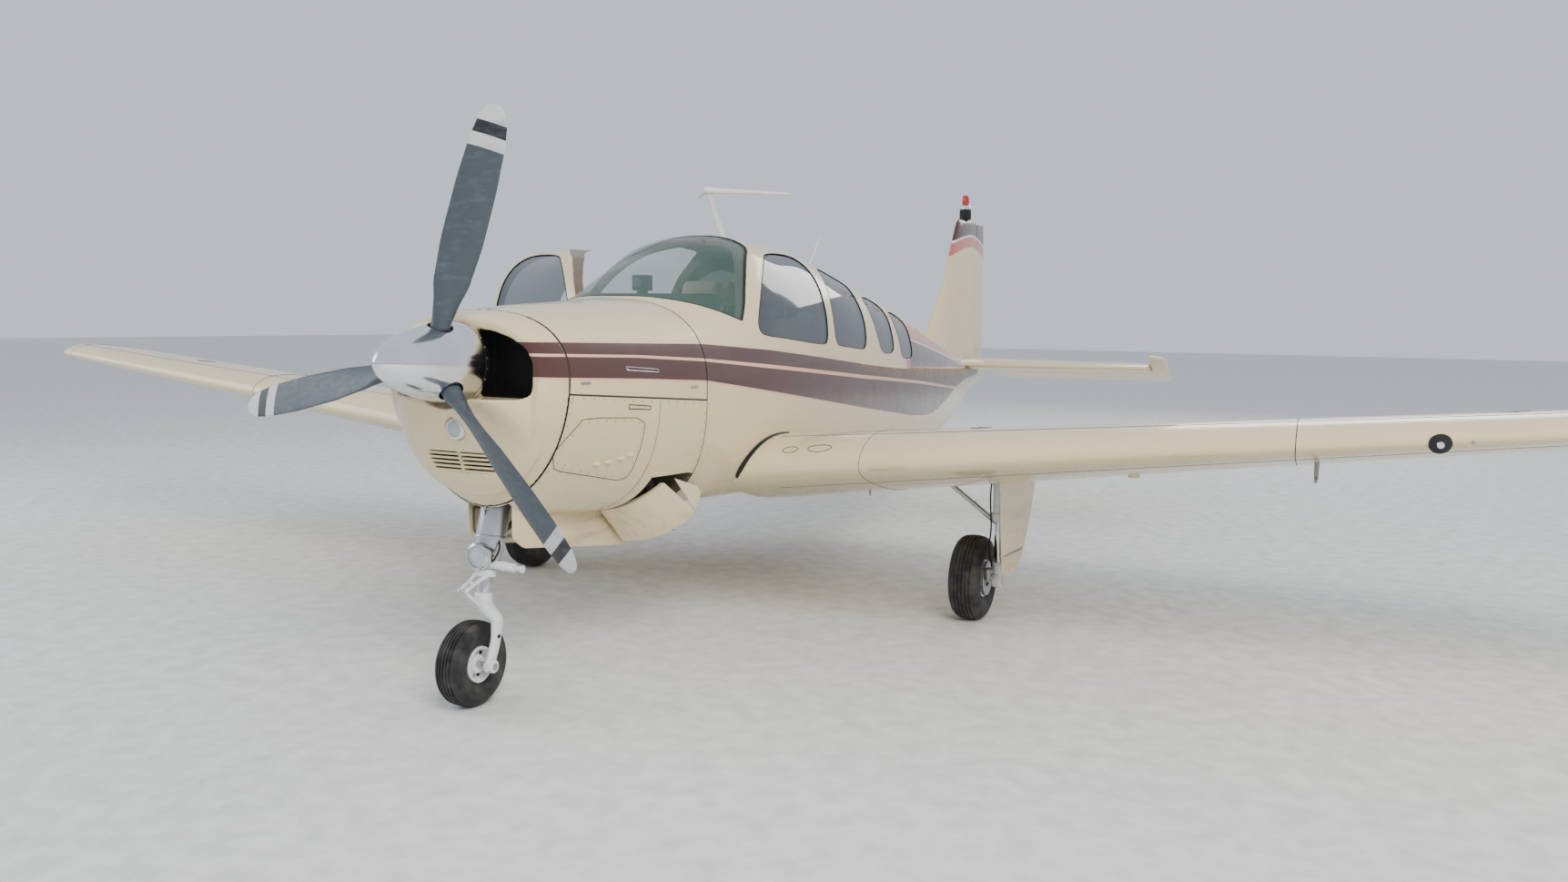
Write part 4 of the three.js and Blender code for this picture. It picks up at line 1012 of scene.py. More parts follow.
def louvre(y, z, sign):
    """A small scoop pressed out of the skin, open to the rear."""
    rings = []
    for t in np.linspace(0, 1, 7):
        size = 4 + 15 * math.sin(t * math.pi / 2) ** 0.7
        spot = Vector((skin_x(y + 34 * t, z), y + 34 * t, z))
        way = skin_way(y + 34 * t, z)
        up = way.cross(Vector((0, 1, 0))).normalized()
        rings.append([spot + way * (size * 0.8 * math.sin(a)) + up * (size * 0.6 * math.cos(a))
                      - way * 2 for a in circle(12)])
    return loft([[(sign * p.x, p.y, p.z) for p in line] for line in rings])


def cowl_screws(sign):
    spots = []
    around = even([*PANEL, PANEL[0]], 52)
    rows = [[(y, seam_height(y) - 12) for y in range(330, 1240, 62)], inset(around, 14),
            [(326, z) for z in range(800, 1300, 48)], [(1232, z) for z in range(740, 1240, 44)]]
    for row in rows:
        for y, z in row:
            x = skin_x(y, z)
            if x > 10:
                way = skin_way(y, z)
                spots.append(((sign * x, y, z), (sign * way.x, way.y, way.z)))
    return [domes(spots, 4.2, 1.6)]


def belly_rivets(sign):
    spots = []
    for x in (150, 175, 260, 345, 430):
        for y in range(330, 950, 24):
            z = skin_z(y, x, side=-1)
            low = skin_z(y, x + 5, side=-1)
            spots.append(((sign * x, y, z), (sign * (low - z), 0, -5)))
    return [domes(spots, 3.2, 1.4, 5)]


def latch(y, z, sign):
    return tube(even(on_side([(y - 26, z), (y + 26, z)], 1.5, sign), 8), 5.5, 8)


both_sides(cowl_seams, "cowl_seams", "airframe", "trim", seal_rubber)
both_sides(cowl_screws, "cowl_screws", "airframe", "steel", housing)
both_sides(belly_rivets, "belly_rivets", "airframe", "paint", cream)
both_sides(lambda s: [louvre(y, z, s) for y, z in LOUVRES], "louvres", "airframe", "paint", cream, 60)
for sign, side in ((1, "left"), (-1, "right")):
    latches = weld(*[latch(y, z, sign) for y, z in LATCHES])
    dress(latches, f"{side}_cowl_latches", f"{side}_cowl", "steel", housing)
    recess = [(673, 1252), (823, 1238), (823, 1222), (673, 1234)]
    dress(seam_line(recess, sign, 2.2, 10, True), f"{side}_cowl_handle", "airframe", "trim", seal_rubber)
    plate = [(660, 1414), (880, 1397), (880, 1383), (658, 1400)]
    dress(seam_line(plate, sign, 2.2, 12, True), f"{side}_bare_plate", f"{side}_cowl", "metal", chrome)

# %% [markdown]
# ## The cabin
# A real cabin is a thin skin over frames with upholstery inside; the CAD wall stands for both. Its
# outside is paint, and what lies deeper than a few millimetres is trim, so the window frames and the
# lining show through the glass. The panes are cut from one layer just under the skin and sit in black
# rubber.

# %% Outlines of the windows, windscreen and doors
CABIN_REAR = 4900
FLOOR = 780
CABIN_WALL = 45
WINDOWS = [
    [[1791, 1597], [1838, 1671], [1906, 1759], [2002, 1850], [2103, 1918], [2190, 1960], [2250, 1974],
     [2382, 1985], [2487, 1987], [2569, 1983], [2635, 1968], [2668, 1940], [2684, 1900], [2686, 1827],
     [2670, 1740], [2662, 1640], [2648, 1555], [2632, 1500], [2590, 1479], [2404, 1490], [2090, 1517],
     [1835, 1536], [1796, 1556]],
    [[2784, 1478], [2757, 1514], [2756, 1570], [2760, 1633], [2770, 1696], [2794, 1767], [2828, 1831],
     [2868, 1883], [2939, 1925], [3060, 1928], [3222, 1904], [3370, 1872], [3470, 1846], [3416, 1804],
     [3390, 1757], [3376, 1704], [3370, 1643], [3357, 1575], [3335, 1507], [3307, 1455], [3259, 1439],
     [3163, 1444], [2981, 1457], [2834, 1467]],
    [[3590, 1500], [3566, 1600], [3562, 1700], [3575, 1740], [3620, 1766], [3720, 1773], [3870, 1762],
     [3990, 1740], [4050, 1716], [4064, 1690], [4056, 1658], [4028, 1615], [3991, 1561], [3962, 1470],
     [3938, 1425], [3900, 1405], [3796, 1398], [3680, 1408], [3625, 1435]],
    [[4122, 1430], [4120, 1500], [4128, 1578], [4155, 1640], [4205, 1674], [4300, 1682], [4440, 1668],
     [4550, 1640], [4585, 1610], [4553, 1556], [4499, 1487], [4462, 1400], [4435, 1368], [4390, 1353],
     [4200, 1356], [4145, 1376]],
]
PANES = [rounded(outline, 60, 3) for outline in WINDOWS]
SCREEN_BASE = [[0, 1293], [130, 1301], [231, 1322], [322, 1366], [384, 1426], [439, 1502], [486, 1586],
               [514, 1660]]
SCREEN_BACK = [[1672, 1612], [1742, 1688], [1815, 1782], [1903, 1878], [2000, 1946], [2071, 1982],
               [2112, 2008], [2137, 2049]]
CABIN_DOOR = [[1752, 1110], [2688, 1110], [2716, 1140], [2716, 1800], [2706, 1940], [2650, 2000],
              [2520, 2018], [2220, 2012], [2060, 1955], [1955, 1878], [1862, 1782], [1790, 1690],
              [1752, 1625]]
UTILITY_FRONT = [[3510, 767], [3533, 745], [4035, 745], [4035, 1440], [4062, 1585], [4116, 1680],
                 [4110, 1722], [4070, 1760], [3700, 1808], [3540, 1802], [3510, 1775]]
UTILITY_REAR = [[4054, 745], [4680, 745], [4702, 767], [4702, 1610], [4672, 1652], [4640, 1666],
                [4134, 1722], [4133, 1675], [4080, 1581], [4054, 1437]]
DOOR_LIP = 16
DOOR_GAP = 6
DOOR_CORNER = 26
SEAL_WIDTH = 3.5
# Name, body, outline, window, hinge's station and the way to the latch, degrees open at rest,
# heights of the hinges, width of the rebate
DOORS = [
    ("cabin_door", "cabin_entry", CABIN_DOOR, 0, 1745, 1, 65, (1180, 1420), 0),
    ("utility_door_front", "utility_front", UTILITY_FRONT, 2, 3502, 1, 0, (1120, 1330), 22),
    ("utility_door_rear", "utility_rear", UTILITY_REAR, 3, 4710, -1, 0, (1100, 1240), 22),
]


def bent(points, step=14):
    """A smooth line through a few points, for the windscreen's edges."""
    points = np.asarray(points, dtype=float)
    arc = np.concatenate([[0], np.cumsum(np.linalg.norm(np.diff(points, axis=0), axis=1))])
    slopes = np.gradient(points, arc, axis=0)
    line = []
    for s in np.linspace(0, arc[-1], int(arc[-1] / step) + 1):
        i = min(len(arc) - 2, int(np.searchsorted(arc, s, side="right")) - 1)
        h = arc[i + 1] - arc[i]
        t = (s - arc[i]) / h
        line.append((2 * t ** 3 - 3 * t * t + 1) * points[i] + (t ** 3 - 2 * t * t + t) * h * slopes[i]
                    + (3 * t * t - 2 * t ** 3) * points[i + 1] + (t ** 3 - t * t) * h * slopes[i + 1])
    return np.array(line)


def screen_space(draw=0.0):
    """What lies ahead of the windscreen's rear edge and behind its base."""
    half = bent([[-x, y] for x, y in SCREEN_BASE[:0:-1]] + SCREEN_BASE)
    plan = [(x, y + draw) for x, y in half]
    plan += [(FAR, SCREEN_BASE[-1][1] + draw), (FAR, 2400), (-FAR, 2400), (-FAR, SCREEN_BASE[-1][1] + draw)]
    back = [(y - draw, z + draw) for y, z in bent(SCREEN_BACK)]
    profile = [(1150, back[0][1]), *back, (back[-1][0], HIGH), (1150, HIGH)]
    return carve(prism(plan, 2, FLOOR, HIGH), prism(profile, 0, -FAR, FAR), operation="INTERSECT")


def through(outline, sign, near=150):
    return prism(outline, 0, near, FAR) if sign > 0 else prism(outline, 0, -FAR, -near)


def door_room(outline):
    """A doorway's cutter: a little bigger than the door, and only as deep as the wall."""
    room = through(rounded(inset(outline, -DOOR_GAP), 30), -1, 150 - DOOR_GAP)
    return carve(room, fuselage(FIREWALL - 20, CABIN_REAR + 20, CABIN_WALL + DOOR_GAP))


def layer(front, rear, outer, inner):
    """A thin skin of the hull between two depths."""
    return carve(fuselage(front, rear, outer, step=30), fuselage(front - 20, rear + 20, inner, step=30))


def add_shell():
    shell = fuselage(FIREWALL, CABIN_REAR)
    room = carve(fuselage(FIREWALL + 50, CABIN_REAR - 50, CABIN_WALL),
                 block((-FAR, 1000, 0), (FAR, 6000, FLOOR), edge=0))
    carve(shell, room, screen_space(), *[through(outline, 1) for outline in PANES], through(PANES[1], -1))
    carve(shell, *[door_room(door[2]) for door in DOORS])
    line_in(shell, 4)
    dress(shell, "cabin_skin", "airframe", "paint", hull, tan_lining, stands_for=("cabin_shell",))
    knuckles = []
    for _, _, _, _, hinge_y, toward, _, heights, _ in DOORS:
        x = -row_at(SECTIONS, hinge_y)[1] - 10
        knuckles += [rod((x, hinge_y, z + 30.5), (x, hinge_y, z + 50), 9, sides=20, edge=1.5)
                     for z in heights]
    dress(weld(*knuckles), "fixed_hinge_knuckles", "airframe", "steel", bare_metal)


def seal(outline, sign):
    """The rubber that holds a pane: a band round the inside of the window's edge."""
    y = [p[0] for p in outline]
    band = layer(min(y) - 30, max(y) + 30, -1.5, 6)
    ring_room = carve(through(outline, sign), through(inset(outline, SEAL_WIDTH), sign))
    return carve(band, ring_room, operation="INTERSECT")


def pane(outline, sign):
    y = [p[0] for p in outline]
    return carve(layer(min(y) - 30, max(y) + 30, 3, 9), through(inset(outline, 1), sign),
                 operation="INTERSECT")


def add_glass():
    seals = [seal(outline, 1) for outline in PANES] + [seal(PANES[1], -1)]
    dress(weld(*seals), "window_seals", "airframe", "trim", seal_rubber)
    for i, outline in enumerate(PANES):
        dress(pane(outline, 1), f"left_pane_{i + 1}", "airframe", "glass", blue_glass,
              stands_for=(f"left_window_{i + 1}",))
    dress(pane(PANES[1], -1), "right_pane_2", "airframe", "glass", blue_glass,
          stands_for=("right_window_2",))
    screen = carve(layer(FIREWALL - 20, 2300, 3, 9), screen_space(1), operation="INTERSECT")
    dress(screen, "windscreen", "airframe", "glass", green_glass, stands_for=("windshield",))
    band = carve(layer(FIREWALL - 20, 2300, -1.5, 6), carve(screen_space(), screen_space(5)),
                 operation="INTERSECT")
    dress(band, "windscreen_seal", "airframe", "trim", seal_rubber)


add_shell()
add_glass()

# %% Doors
def add_door(node, body, outline, window, hinge_y, toward, degrees, heights, rebate):
    """A door with its pane, seal, hinges and handle, turned to where it stands."""
    panel = fuselage(min(p[0] for p in outline) - 40, max(p[0] for p in outline) + 40)
    carve(panel, through(rounded(outline, DOOR_CORNER), -1), operation="INTERSECT")
    carve(panel, fuselage(FIREWALL - 20, CABIN_REAR + 20, CABIN_WALL), through(PANES[window], -1))
    if rebate:
        lip = fuselage(FIREWALL - 20, CABIN_REAR + 20, DOOR_LIP)
        carve(panel, carve(lip, through(inset(rounded(outline, DOOR_CORNER), rebate), -1)))
    line_in(panel, 4)
    x = -row_at(SECTIONS, hinge_y)[1] - 10
    hinges = []
    for z in heights:
        hinges.append(rod((x, hinge_y, z - 30), (x, hinge_y, z + 30), 9, sides=20, edge=1.5))
        near, far = sorted((hinge_y + toward * 9, hinge_y + toward * 34))
        hinges.append(block((x - 4, near, z - 30), (x + 20, far, z + 30), edge=1.5))
    latch_y = 2560 if node == "cabin_door" else hinge_y + toward * 560
    grip = tube(on_side([(latch_y - 60, 1228), (latch_y - 20, 1230), (latch_y + 20, 1230),
                         (latch_y + 60, 1228)], 9, -1), 6, 10)
    turn = hinge_turn((x, hinge_y, 0), (0, 0, 1), math.radians(degrees))
    finish = hull_paint(f"{node} enamel", (place(x, hinge_y, 0), degrees)) if degrees else hull
    parts = [(panel, "panel", "paint", (finish, tan_lining), (node,)),
             (weld(*hinges), "hinges", "steel", (bare_metal,), ()),
             (grip, "handle", "metal", (chrome,), ()),
             (pane(PANES[window], -1), "pane", "glass", (blue_glass,), (f"{node}_window",)),
             (seal(PANES[window], -1), "seal", "trim", (seal_rubber,), ())]
    for piece, part, slot, finishes, nodes in parts:
        piece.data.transform(turn)
        dress(piece, f"{node}_{part}", body, slot, *finishes, stands_for=nodes)


for door in DOORS:
    add_door(*door)

# %% [markdown]
# ## Seats
# Six leather seats: each is a cushion, a leaning back and a headrest on two posts. Foam under leather
# has no straight line, so each pad starts as a rounded block, is remeshed evenly and blown up a little
# by the cloth solver, which crowns its faces. The sewn channels are pressed in afterwards, because the
# remesh would wipe them out. One set is shaped, and its copies are placed, narrowed and shortened.

# %% Leather and blown pads
def leather(name, color):
    finish = Finish(name, color, sheen_weight=0.1, specular_ior_level=0.4)
    pebbles = finish.add("TexVoronoi", 0, finish.place, None, 260.0)
    crease = finish.noise(24, 5)
    wear = finish.stretch(finish.noise(6, 4), 0.4, 0.75)
    shade = finish.mix(wear, tint(color, 1.04), tint(color, 0.8))
    rough = finish.stretch(finish.math("ADD", pebbles, wear), 0.2, 1.2, 0.38, 0.64)
    return finish.done(shade, rough, finish.bump(pebbles, 0.3, 0.0006, finish.bump(crease, 0.25, 0.002)))


cream_leather = leather("cream leather", srgb(208, 192, 162))


def spots_of(piece, kind="co"):
    """The places or the normals of a mesh's points, one row each."""
    values = np.zeros(len(piece.data.vertices) * 3)
    source = piece.data.vertices if kind == "co" else piece.data.vertex_normals
    source.foreach_get(kind if kind == "co" else "vector", values)
    return values.reshape(-1, 3)


def move_to(piece, spots):
    piece.data.vertices.foreach_set("co", np.asarray(spots).ravel())
    piece.data.update()
    return piece


def blown(piece, voxel=0.011, reach=0.024):
    """Foam: remeshed, blown up by the cloth solver, no point moving further than the reach."""
    pick(piece)
    piece.data.remesh_voxel_size = voxel
    bpy.ops.object.voxel_remesh()
    before = spots_of(piece)
    foam = piece.modifiers.new("foam", "CLOTH")
    foam.settings.use_pressure = True
    foam.settings.uniform_pressure_force = 4.0
    foam.settings.effector_weights.gravity = 0
    for moment in range(1, 21):
        bpy.context.scene.frame_set(moment)
    bpy.ops.object.modifier_apply(modifier="foam")
    bpy.context.scene.frame_set(1)
    moved = spots_of(piece) - before
    length = np.linalg.norm(moved, axis=1, keepdims=True)
    move_to(piece, before + moved * np.minimum(1, reach / np.maximum(length, 1e-9)))
    return apply(piece, "SUBSURF", levels=1, render_levels=1)


def sewn(piece, lines, width=0.006, depth=0.009):
    """Presses channels in: a line is an axis, a place on it and the axis its panel faces."""
    for axis, at, facing, sign in lines:
        spots = spots_of(piece)
        ways = spots_of(piece, "normal")
        share = np.exp(-((spots[:, axis] - at) / width) ** 2) * np.clip(ways[:, facing] * sign * 1.5, 0, 1)
        move_to(piece, spots - ways * (share * depth)[:, None])
    return piece


# %% One set of pads
SEAT_LEAN = 0.25
PAD_FLOOR = 0.29
BACK_FOOT = 0.272
BACK_HEIGHT = 0.59
REST_FOOT = 0.875


def seat_pads():
    """The cushion, the back and the headrest of a seat whose hinge stands at the frame's middle."""
    cushion = blown(block((-206, MIDDLE - 532, 180), (206, MIDDLE - 78, 308), edge=44, segments=5))
    sewn(cushion, [(0, -0.118, 2, 1), (0, 0.118, 2, 1), (1, -0.30, 2, 1)])
    back = blown(block((-204, MIDDLE - 64, 272), (204, MIDDLE + 40, 862), edge=42, segments=5))
    sewn(back, [(0, -0.12, 1, -1), (0, 0.12, 1, -1), (2, 0.62, 1, -1), (2, 0.45, 1, -1)])
    rest = blown(block((-128, MIDDLE - 46, 912), (128, MIDDLE + 36, 1060), edge=34, segments=5), 0.009)
    sewn(rest, [(1, -0.006, 2, 1), (1, -0.006, 0, 1), (1, -0.006, 0, -1)], depth=0.006)
    posts = weld(*[rod((x, MIDDLE - 4, 840), (x, MIDDLE - 4, 930), 6, sides=16, edge=1) for x in (-58, 58)])
    return cushion, back, rest, posts


def leaned(piece, drop):
    """Lowers what belongs to a back, and leans it."""
    spots = spots_of(piece)
    if drop:
        high = spots[:, 2] > REST_FOOT
        share = 1 - drop / BACK_HEIGHT
        spots[:, 2] = np.where(high, spots[:, 2] - drop, BACK_FOOT + (spots[:, 2] - BACK_FOOT) * share)
    spots[:, 1] += SEAT_LEAN * np.maximum(0, spots[:, 2] - PAD_FLOOR)
    return move_to(piece, spots)


def kept_inside(piece):
    """Presses what would meet the cabin's wall back to it."""
    spots = spots_of(piece)
    for spot in spots:
        if spot[2] > 1.45:
            limit = skin_x(spot[1] * 1000 + MIDDLE, spot[2] * 1000, CABIN_WALL + 14) / 1000
            spot[0] = max(-limit, min(limit, spot[0]))
    return move_to(piece, spots)


PADS = seat_pads()
print("one seat's pads:", sum(len(pad.data.polygons) for pad in PADS), "faces")

# %% Six seats and their frames
# Name, node, x, y of the back's hinge, which way it faces, width, how much lower its back is
SEATS = [
    ("front_left_seat", "front_left_seat", 255, 2480, 1, 1.0, 0.0),
    ("front_right_seat", "front_right_seat", -255, 2480, 1, 1.0, 0.0),
    ("middle_left_seat", "middle_seats", 227.5, 2975, -1, 0.94, 0.0),
    ("middle_right_seat", "middle_seats", -227.5, 2975, -1, 0.94, 0.0),
    ("rear_left_seat", "rear_seats", 227.5, 4290, 1, 0.94, 0.24),
    ("rear_right_seat", "rear_seats", -227.5, 4290, 1, 0.94, 0.24),
]


def seat_frame():
    """Rails, legs and the pan that carry a cushion, and the back's hinges."""
    parts = [block((x - 14, MIDDLE - 500, 4), (x + 14, MIDDLE - 70, 20), edge=2) for x in (-150, 150)]
    for x in (-150, 150):
        parts += [rod((x, MIDDLE + y, 18), (x * 0.9, MIDDLE + y + 20, 166), 11, sides=16, edge=0)
                  for y in (-470, -120)]
        parts.append(rod((x, MIDDLE - 440, 92), (x, MIDDLE - 130, 92), 9, sides=16, edge=0))
        parts.append(block((x * 1.2 - 6, MIDDLE - 96, 150), (x * 1.2 + 6, MIDDLE - 30, 290), edge=3))
    parts.append(block((-196, MIDDLE - 508, 160), (196, MIDDLE - 84, 178), edge=5))
    return weld(*parts)


def add_seats():
    frame_parts = seat_frame()
    for name, node, x, y, facing, width, drop in SEATS:
        facing_turn = Matrix.Rotation(0 if facing > 0 else math.pi, 4, "Z")
        turn = Matrix.Translation(place(x, y, FLOOR)) @ facing_turn @ Matrix.Diagonal((width, 1, 1, 1))
        cushion, back, rest, posts = [twin(pad, Matrix.Identity(4)) for pad in PADS]
        pads = weld(cushion, leaned(back, drop), leaned(rest, drop))
        pads.data.transform(turn)
        dress(kept_inside(pads), name + "_pads", "airframe", "leather", cream_leather, smooth=70,
              stands_for=(node,))
        leaned(posts, drop).data.transform(turn)
        dress(weld(posts, twin(frame_parts, turn)), name + "_frame", "airframe", "metal", housing)
    for piece in (*PADS, frame_parts):
        bpy.data.objects.remove(piece)
    for name, rear in (("middle_console", (2960, 3340)), ("rear_console", (3900, 4265))):
        console = block((-27, rear[0], FLOOR + 4), (27, rear[1], FLOOR + 195), edge=12, segments=4)
        dress(console, name, "airframe", "leather", tan_lining)


add_seats()

# %% [markdown]
# ## Panel, glareshield and controls
# The dark hood over the instruments shows through the windscreen, with a small box standing on it.
# Behind it the panel carries round dials in turned bezels, a stack of plain radios, two yokes and the
# levers, all without lettering.

# %% Glareshield and instrument panel
HOOD = [[1318, 1640], [1340, 1690], [1420, 1726], [1520, 1742], [1612, 1744], [1640, 1732], [1644, 1700],
        [1606, 1690], [1560, 1650], [1500, 1640]]
PANEL_FACE = 1560
RADIOS = (1350, 1408, 1466, 1524)
DIALS = [(x, z, 41) for z in (1545, 1450) for x in (160, 255, 350)] + [
    (x, z, 30) for z in (1560, 1490, 1420) for x in (-130, -200)] + [(-290, 1520, 41), (-375, 1500, 30)]


def dial(x, z, radius):
    """A bezel, a dark face, a ring of marks and a needle."""
    y = PANEL_FACE
    bezel = lathe([(radius - 7, y - 2), (radius - 7, y + 9), (radius - 4, y + 12), (radius, y + 9),
                   (radius, y - 2)], steps=28, axis="Y", centre=(x, 0, z))
    face = rod((x, y - 1, z), (x, y + 3, z), radius - 6, sides=24, edge=0)
    marks = []
    for k in range(12):
        turn = Matrix.Translation(place(x, 0, z)) @ Matrix.Rotation(k * math.pi / 6, 4, "Y")
        mark = block((-1.2, y + 3 - 0.4, radius - 15), (1.2, y + 3.6, radius - 9), edge=0)
        mark.data.transform(turn @ Matrix.Translation(-place(0, 0, 0)))
        marks.append(mark)
    needle = rod((x, y + 5, z), (x + (radius - 14) * 0.7, y + 5, z + (radius - 14) * 0.7), 1.6, 0.6,
                 sides=6, edge=0)
    return bezel, face, weld(*marks, needle)


def yoke(x):
    """A control wheel on its shaft, its two horns turned up."""
    shaft = rod((x, PANEL_FACE - 5, 1345), (x, 1716, 1352), 11, sides=20)
    collar = lathe([(0, 0), (26, 0), (26, 12), (16, 20), (0, 20)], axis="Y", centre=(x, PANEL_FACE, 1345))
    points = [(-132, 96), (-150, 60), (-138, 18), (-90, -14), (-30, -16), (30, -16), (90, -14), (138, 18),
              (150, 60), (132, 96)]
    line = bent([(x + a, 1352 + b) for a, b in points], 12)
    horns = tube([(a, 1722, b) for a, b in line], 12, 12)
    hub = block((x - 44, 1706, 1322), (x + 44, 1738, 1372), edge=9, segments=3)
    return weld(shaft, collar), weld(horns, hub)


def add_panel():
    room = fuselage(FIREWALL, 1800, CABIN_WALL + 2, step=40)
    face = prism([(1528, 1184), (1554, 1184), (PANEL_FACE, 1196), (PANEL_FACE, 1640), (1530, 1640)], 0,
                 -FAR, FAR)
    carve(face, room, operation="INTERSECT")
    dress(face, "panel_face", "airframe", "trim", coated("panel lacquer", srgb(74, 70, 66), 0.5, 200, 0.3),
          stands_for=("instrument_panel",))
    hood = prism(rounded(HOOD, 16), 0, -FAR, FAR)
    carve(hood, fuselage(FIREWALL, 1900, 24, step=40), operation="INTERSECT")
    dress(hood, "glareshield", "airframe", "trim", black_trim)
    bezels, faces, marks = zip(*[dial(*spot) for spot in DIALS])
    dress(weld(*bezels), "dial_bezels", "airframe", "trim", black_trim)
    dress(weld(*faces), "dial_faces", "airframe", "trim", coated("dial black", srgb(12, 12, 14), 0.3))
    dress(weld(*marks), "dial_marks", "airframe", "trim", white_enamel)
    radios = [block((-62, PANEL_FACE - 4, z), (62, PANEL_FACE + 6, z + 50), edge=3) for z in RADIOS]
    radios += [rod((x, PANEL_FACE + 4, z + 25), (x, PANEL_FACE + 22, z + 25), 9, 8, sides=20, edge=1.5)
               for z in RADIOS for x in (-48, 48)]
    dress(weld(*radios), "radio_stack", "airframe", "trim", coated("radio black", srgb(22, 22, 24), 0.4))
    shafts, wheels = zip(*[yoke(x) for x in (-255, 255)])
    dress(weld(*shafts), "yoke_shafts", "airframe", "metal", housing)
    dress(weld(*wheels), "yoke_wheels", "airframe", "trim", black_trim)
    levers = [block((-66, PANEL_FACE - 20, 1236), (66, PANEL_FACE + 34, 1300), edge=10, segments=3)]
    for x in (-36, 0, 36):
        levers.append(rod((x, PANEL_FACE + 20, 1290), (x, PANEL_FACE + 74, 1330), 4, sides=12, edge=0))
        levers.append(rod((x, PANEL_FACE + 66, 1330), (x, PANEL_FACE + 92, 1330), 12, 10, sides=20, edge=3))
    dress(weld(*levers), "engine_levers", "airframe", "trim", black_trim)
    pedals = [block((x - 38, 1452, FLOOR + 60), (x + 38, 1466, FLOOR + 170), edge=5, segments=3)
              for x in (-345, -215, 215, 345)]
    pedals += [rod((x, 1459, FLOOR + 8), (x, 1459, FLOOR + 70), 8, sides=16)
               for x in (-345, -215, 215, 345)]
    dress(weld(*pedals), "rudder_pedals", "airframe", "metal", housing)


def add_hood_box():
    """The small box on the hood, its round eye looking ahead."""
    case = block((-44, 1530, 1756), (42, 1596, 1834), edge=7, segments=3)
    foot = block((-22, 1542, 1742), (20, 1586, 1758), edge=3)
    dress(weld(case, foot), "hood_box", "airframe", "trim", black_trim)
    eye = lathe([(0, 1524), (22, 1524), (26, 1527), (26, 1532), (0, 1532)], axis="Y", centre=(-14, 0, 1796))
    dress(eye, "hood_box_eye", "airframe", "trim",
          coated("grey eye", srgb(96, 100, 104), 0.25, coat_weight=1.0))


def add_carpet():
    mat = block((-FAR, FIREWALL + 60, FLOOR - 1), (FAR, CABIN_REAR - 60, FLOOR + 5), edge=0)
    carve(mat, fuselage(FIREWALL, CABIN_REAR, CABIN_WALL + 3, step=60), operation="INTERSECT")
    dress(mat, "cabin_carpet", "airframe", "trim", carpet)


add_panel()
add_hood_box()
add_carpet()

# %% [markdown]
# ## Tail cone, wings and tail
# Wings and tail surfaces are lofts of an aerofoil. The section is computed point by point, closely
# near the nose, where it curves most. Each moving surface is its own piece with a pointed nose that
# leaves room to swing, as in the CAD.

# %% Aerofoils
WING = {"root_x": 380, "tip_x": 5020, "root_chord": 2130, "tip_chord": 1080, "quarter_y": 2200,
        "quarter_x": 550, "quarter_z": 802, "dihedral": 6.2, "root_pitch": 7.5, "tip_pitch": 4.6,
        "root_thick": 0.165, "tip_thick": 0.12}
FLAP = (610, 2558, 0.745)
AILERON = (2574, 4860, 0.765)
END_GAP = 9
FOIL_PLACES = (1 - np.cos(np.linspace(0, math.pi, 29))) / 2


def camber(a):
    m = 0.2025
    k = 15.957 / 6
    return k * (a ** 3 - 3 * m * a * a + m * m * (3 - m) * a) if a < m else k * m ** 3 * (1 - a)


def half_thickness(a):
    return 5 * (0.2969 * math.sqrt(a) - 0.126 * a - 0.3516 * a * a + 0.2843 * a ** 3 - 0.1015 * a ** 4)


def foil_point(section, along, side):
    """A point of a section: along its chord, and above or below it by half its thickness."""
    lead, trail, up, thick, bent_line = section
    lead, trail, up = np.array(lead, float), np.array(trail, float), np.array(up, float)
    chord = np.linalg.norm(trail - lead)
    rise = chord * ((camber(along) if bent_line else 0) + side * thick * half_thickness(along))
    return lead + along * (trail - lead) + rise * up


def foil_ring(section):
    upper = [foil_point(section, a, 1) for a in FOIL_PLACES[:0:-1]]
    lower = [foil_point(section, a, -1) for a in FOIL_PLACES[1:]]
    return [*upper, foil_point(section, 0, 0), *lower]


def control_ring(section, start):
    """A moving surface's section: a pointed nose, then the foil to its trailing edge."""
    marks = start + 0.028 + (1 - start - 0.028) * np.linspace(0, 1, 9)
    upper = [foil_point(section, a, 1) for a in marks[::-1]]
    lower = [foil_point(section, a, -1) for a in marks]
    return [*upper, foil_point(section, start, 0), *lower]


def wing_section(x, chord_scale=1.0, thick_scale=1.0):
    w = WING
    t = (x - w["root_x"]) / (w["tip_x"] - w["root_x"])
    chord = (w["root_chord"] + t * (w["tip_chord"] - w["root_chord"])) * chord_scale
    pitch = math.radians(w["root_pitch"] + t * (w["tip_pitch"] - w["root_pitch"]))
    z = w["quarter_z"] + (x - w["quarter_x"]) * math.tan(math.radians(w["dihedral"]))
    flat, steep = math.cos(pitch), math.sin(pitch)
    thick = (w["root_thick"] + t * (w["tip_thick"] - w["root_thick"])) * thick_scale
    return ((x, w["quarter_y"] - 0.25 * chord * flat, z + 0.25 * chord * steep),
            (x, w["quarter_y"] + 0.75 * chord * flat, z - 0.75 * chord * steep), (0, steep, flat), thick,
            True)


def bay(inner, outer, start):
    """The room behind a line, for a flap or an aileron."""
    low, high = inner - END_GAP, outer + END_GAP
    near = foil_point(wing_section(low), start, 0)[1] - CLEAR
    far = foil_point(wing_section(high), start, 0)[1] - CLEAR
    return prism([(low, near), (high, far), (high, 4200), (low, 4200)], 2, 300, 2000)


def along_span(inner, outer, start, parts=8):
    return loft([control_ring(wing_section(x), start) for x in np.linspace(inner, outer, parts + 1)])


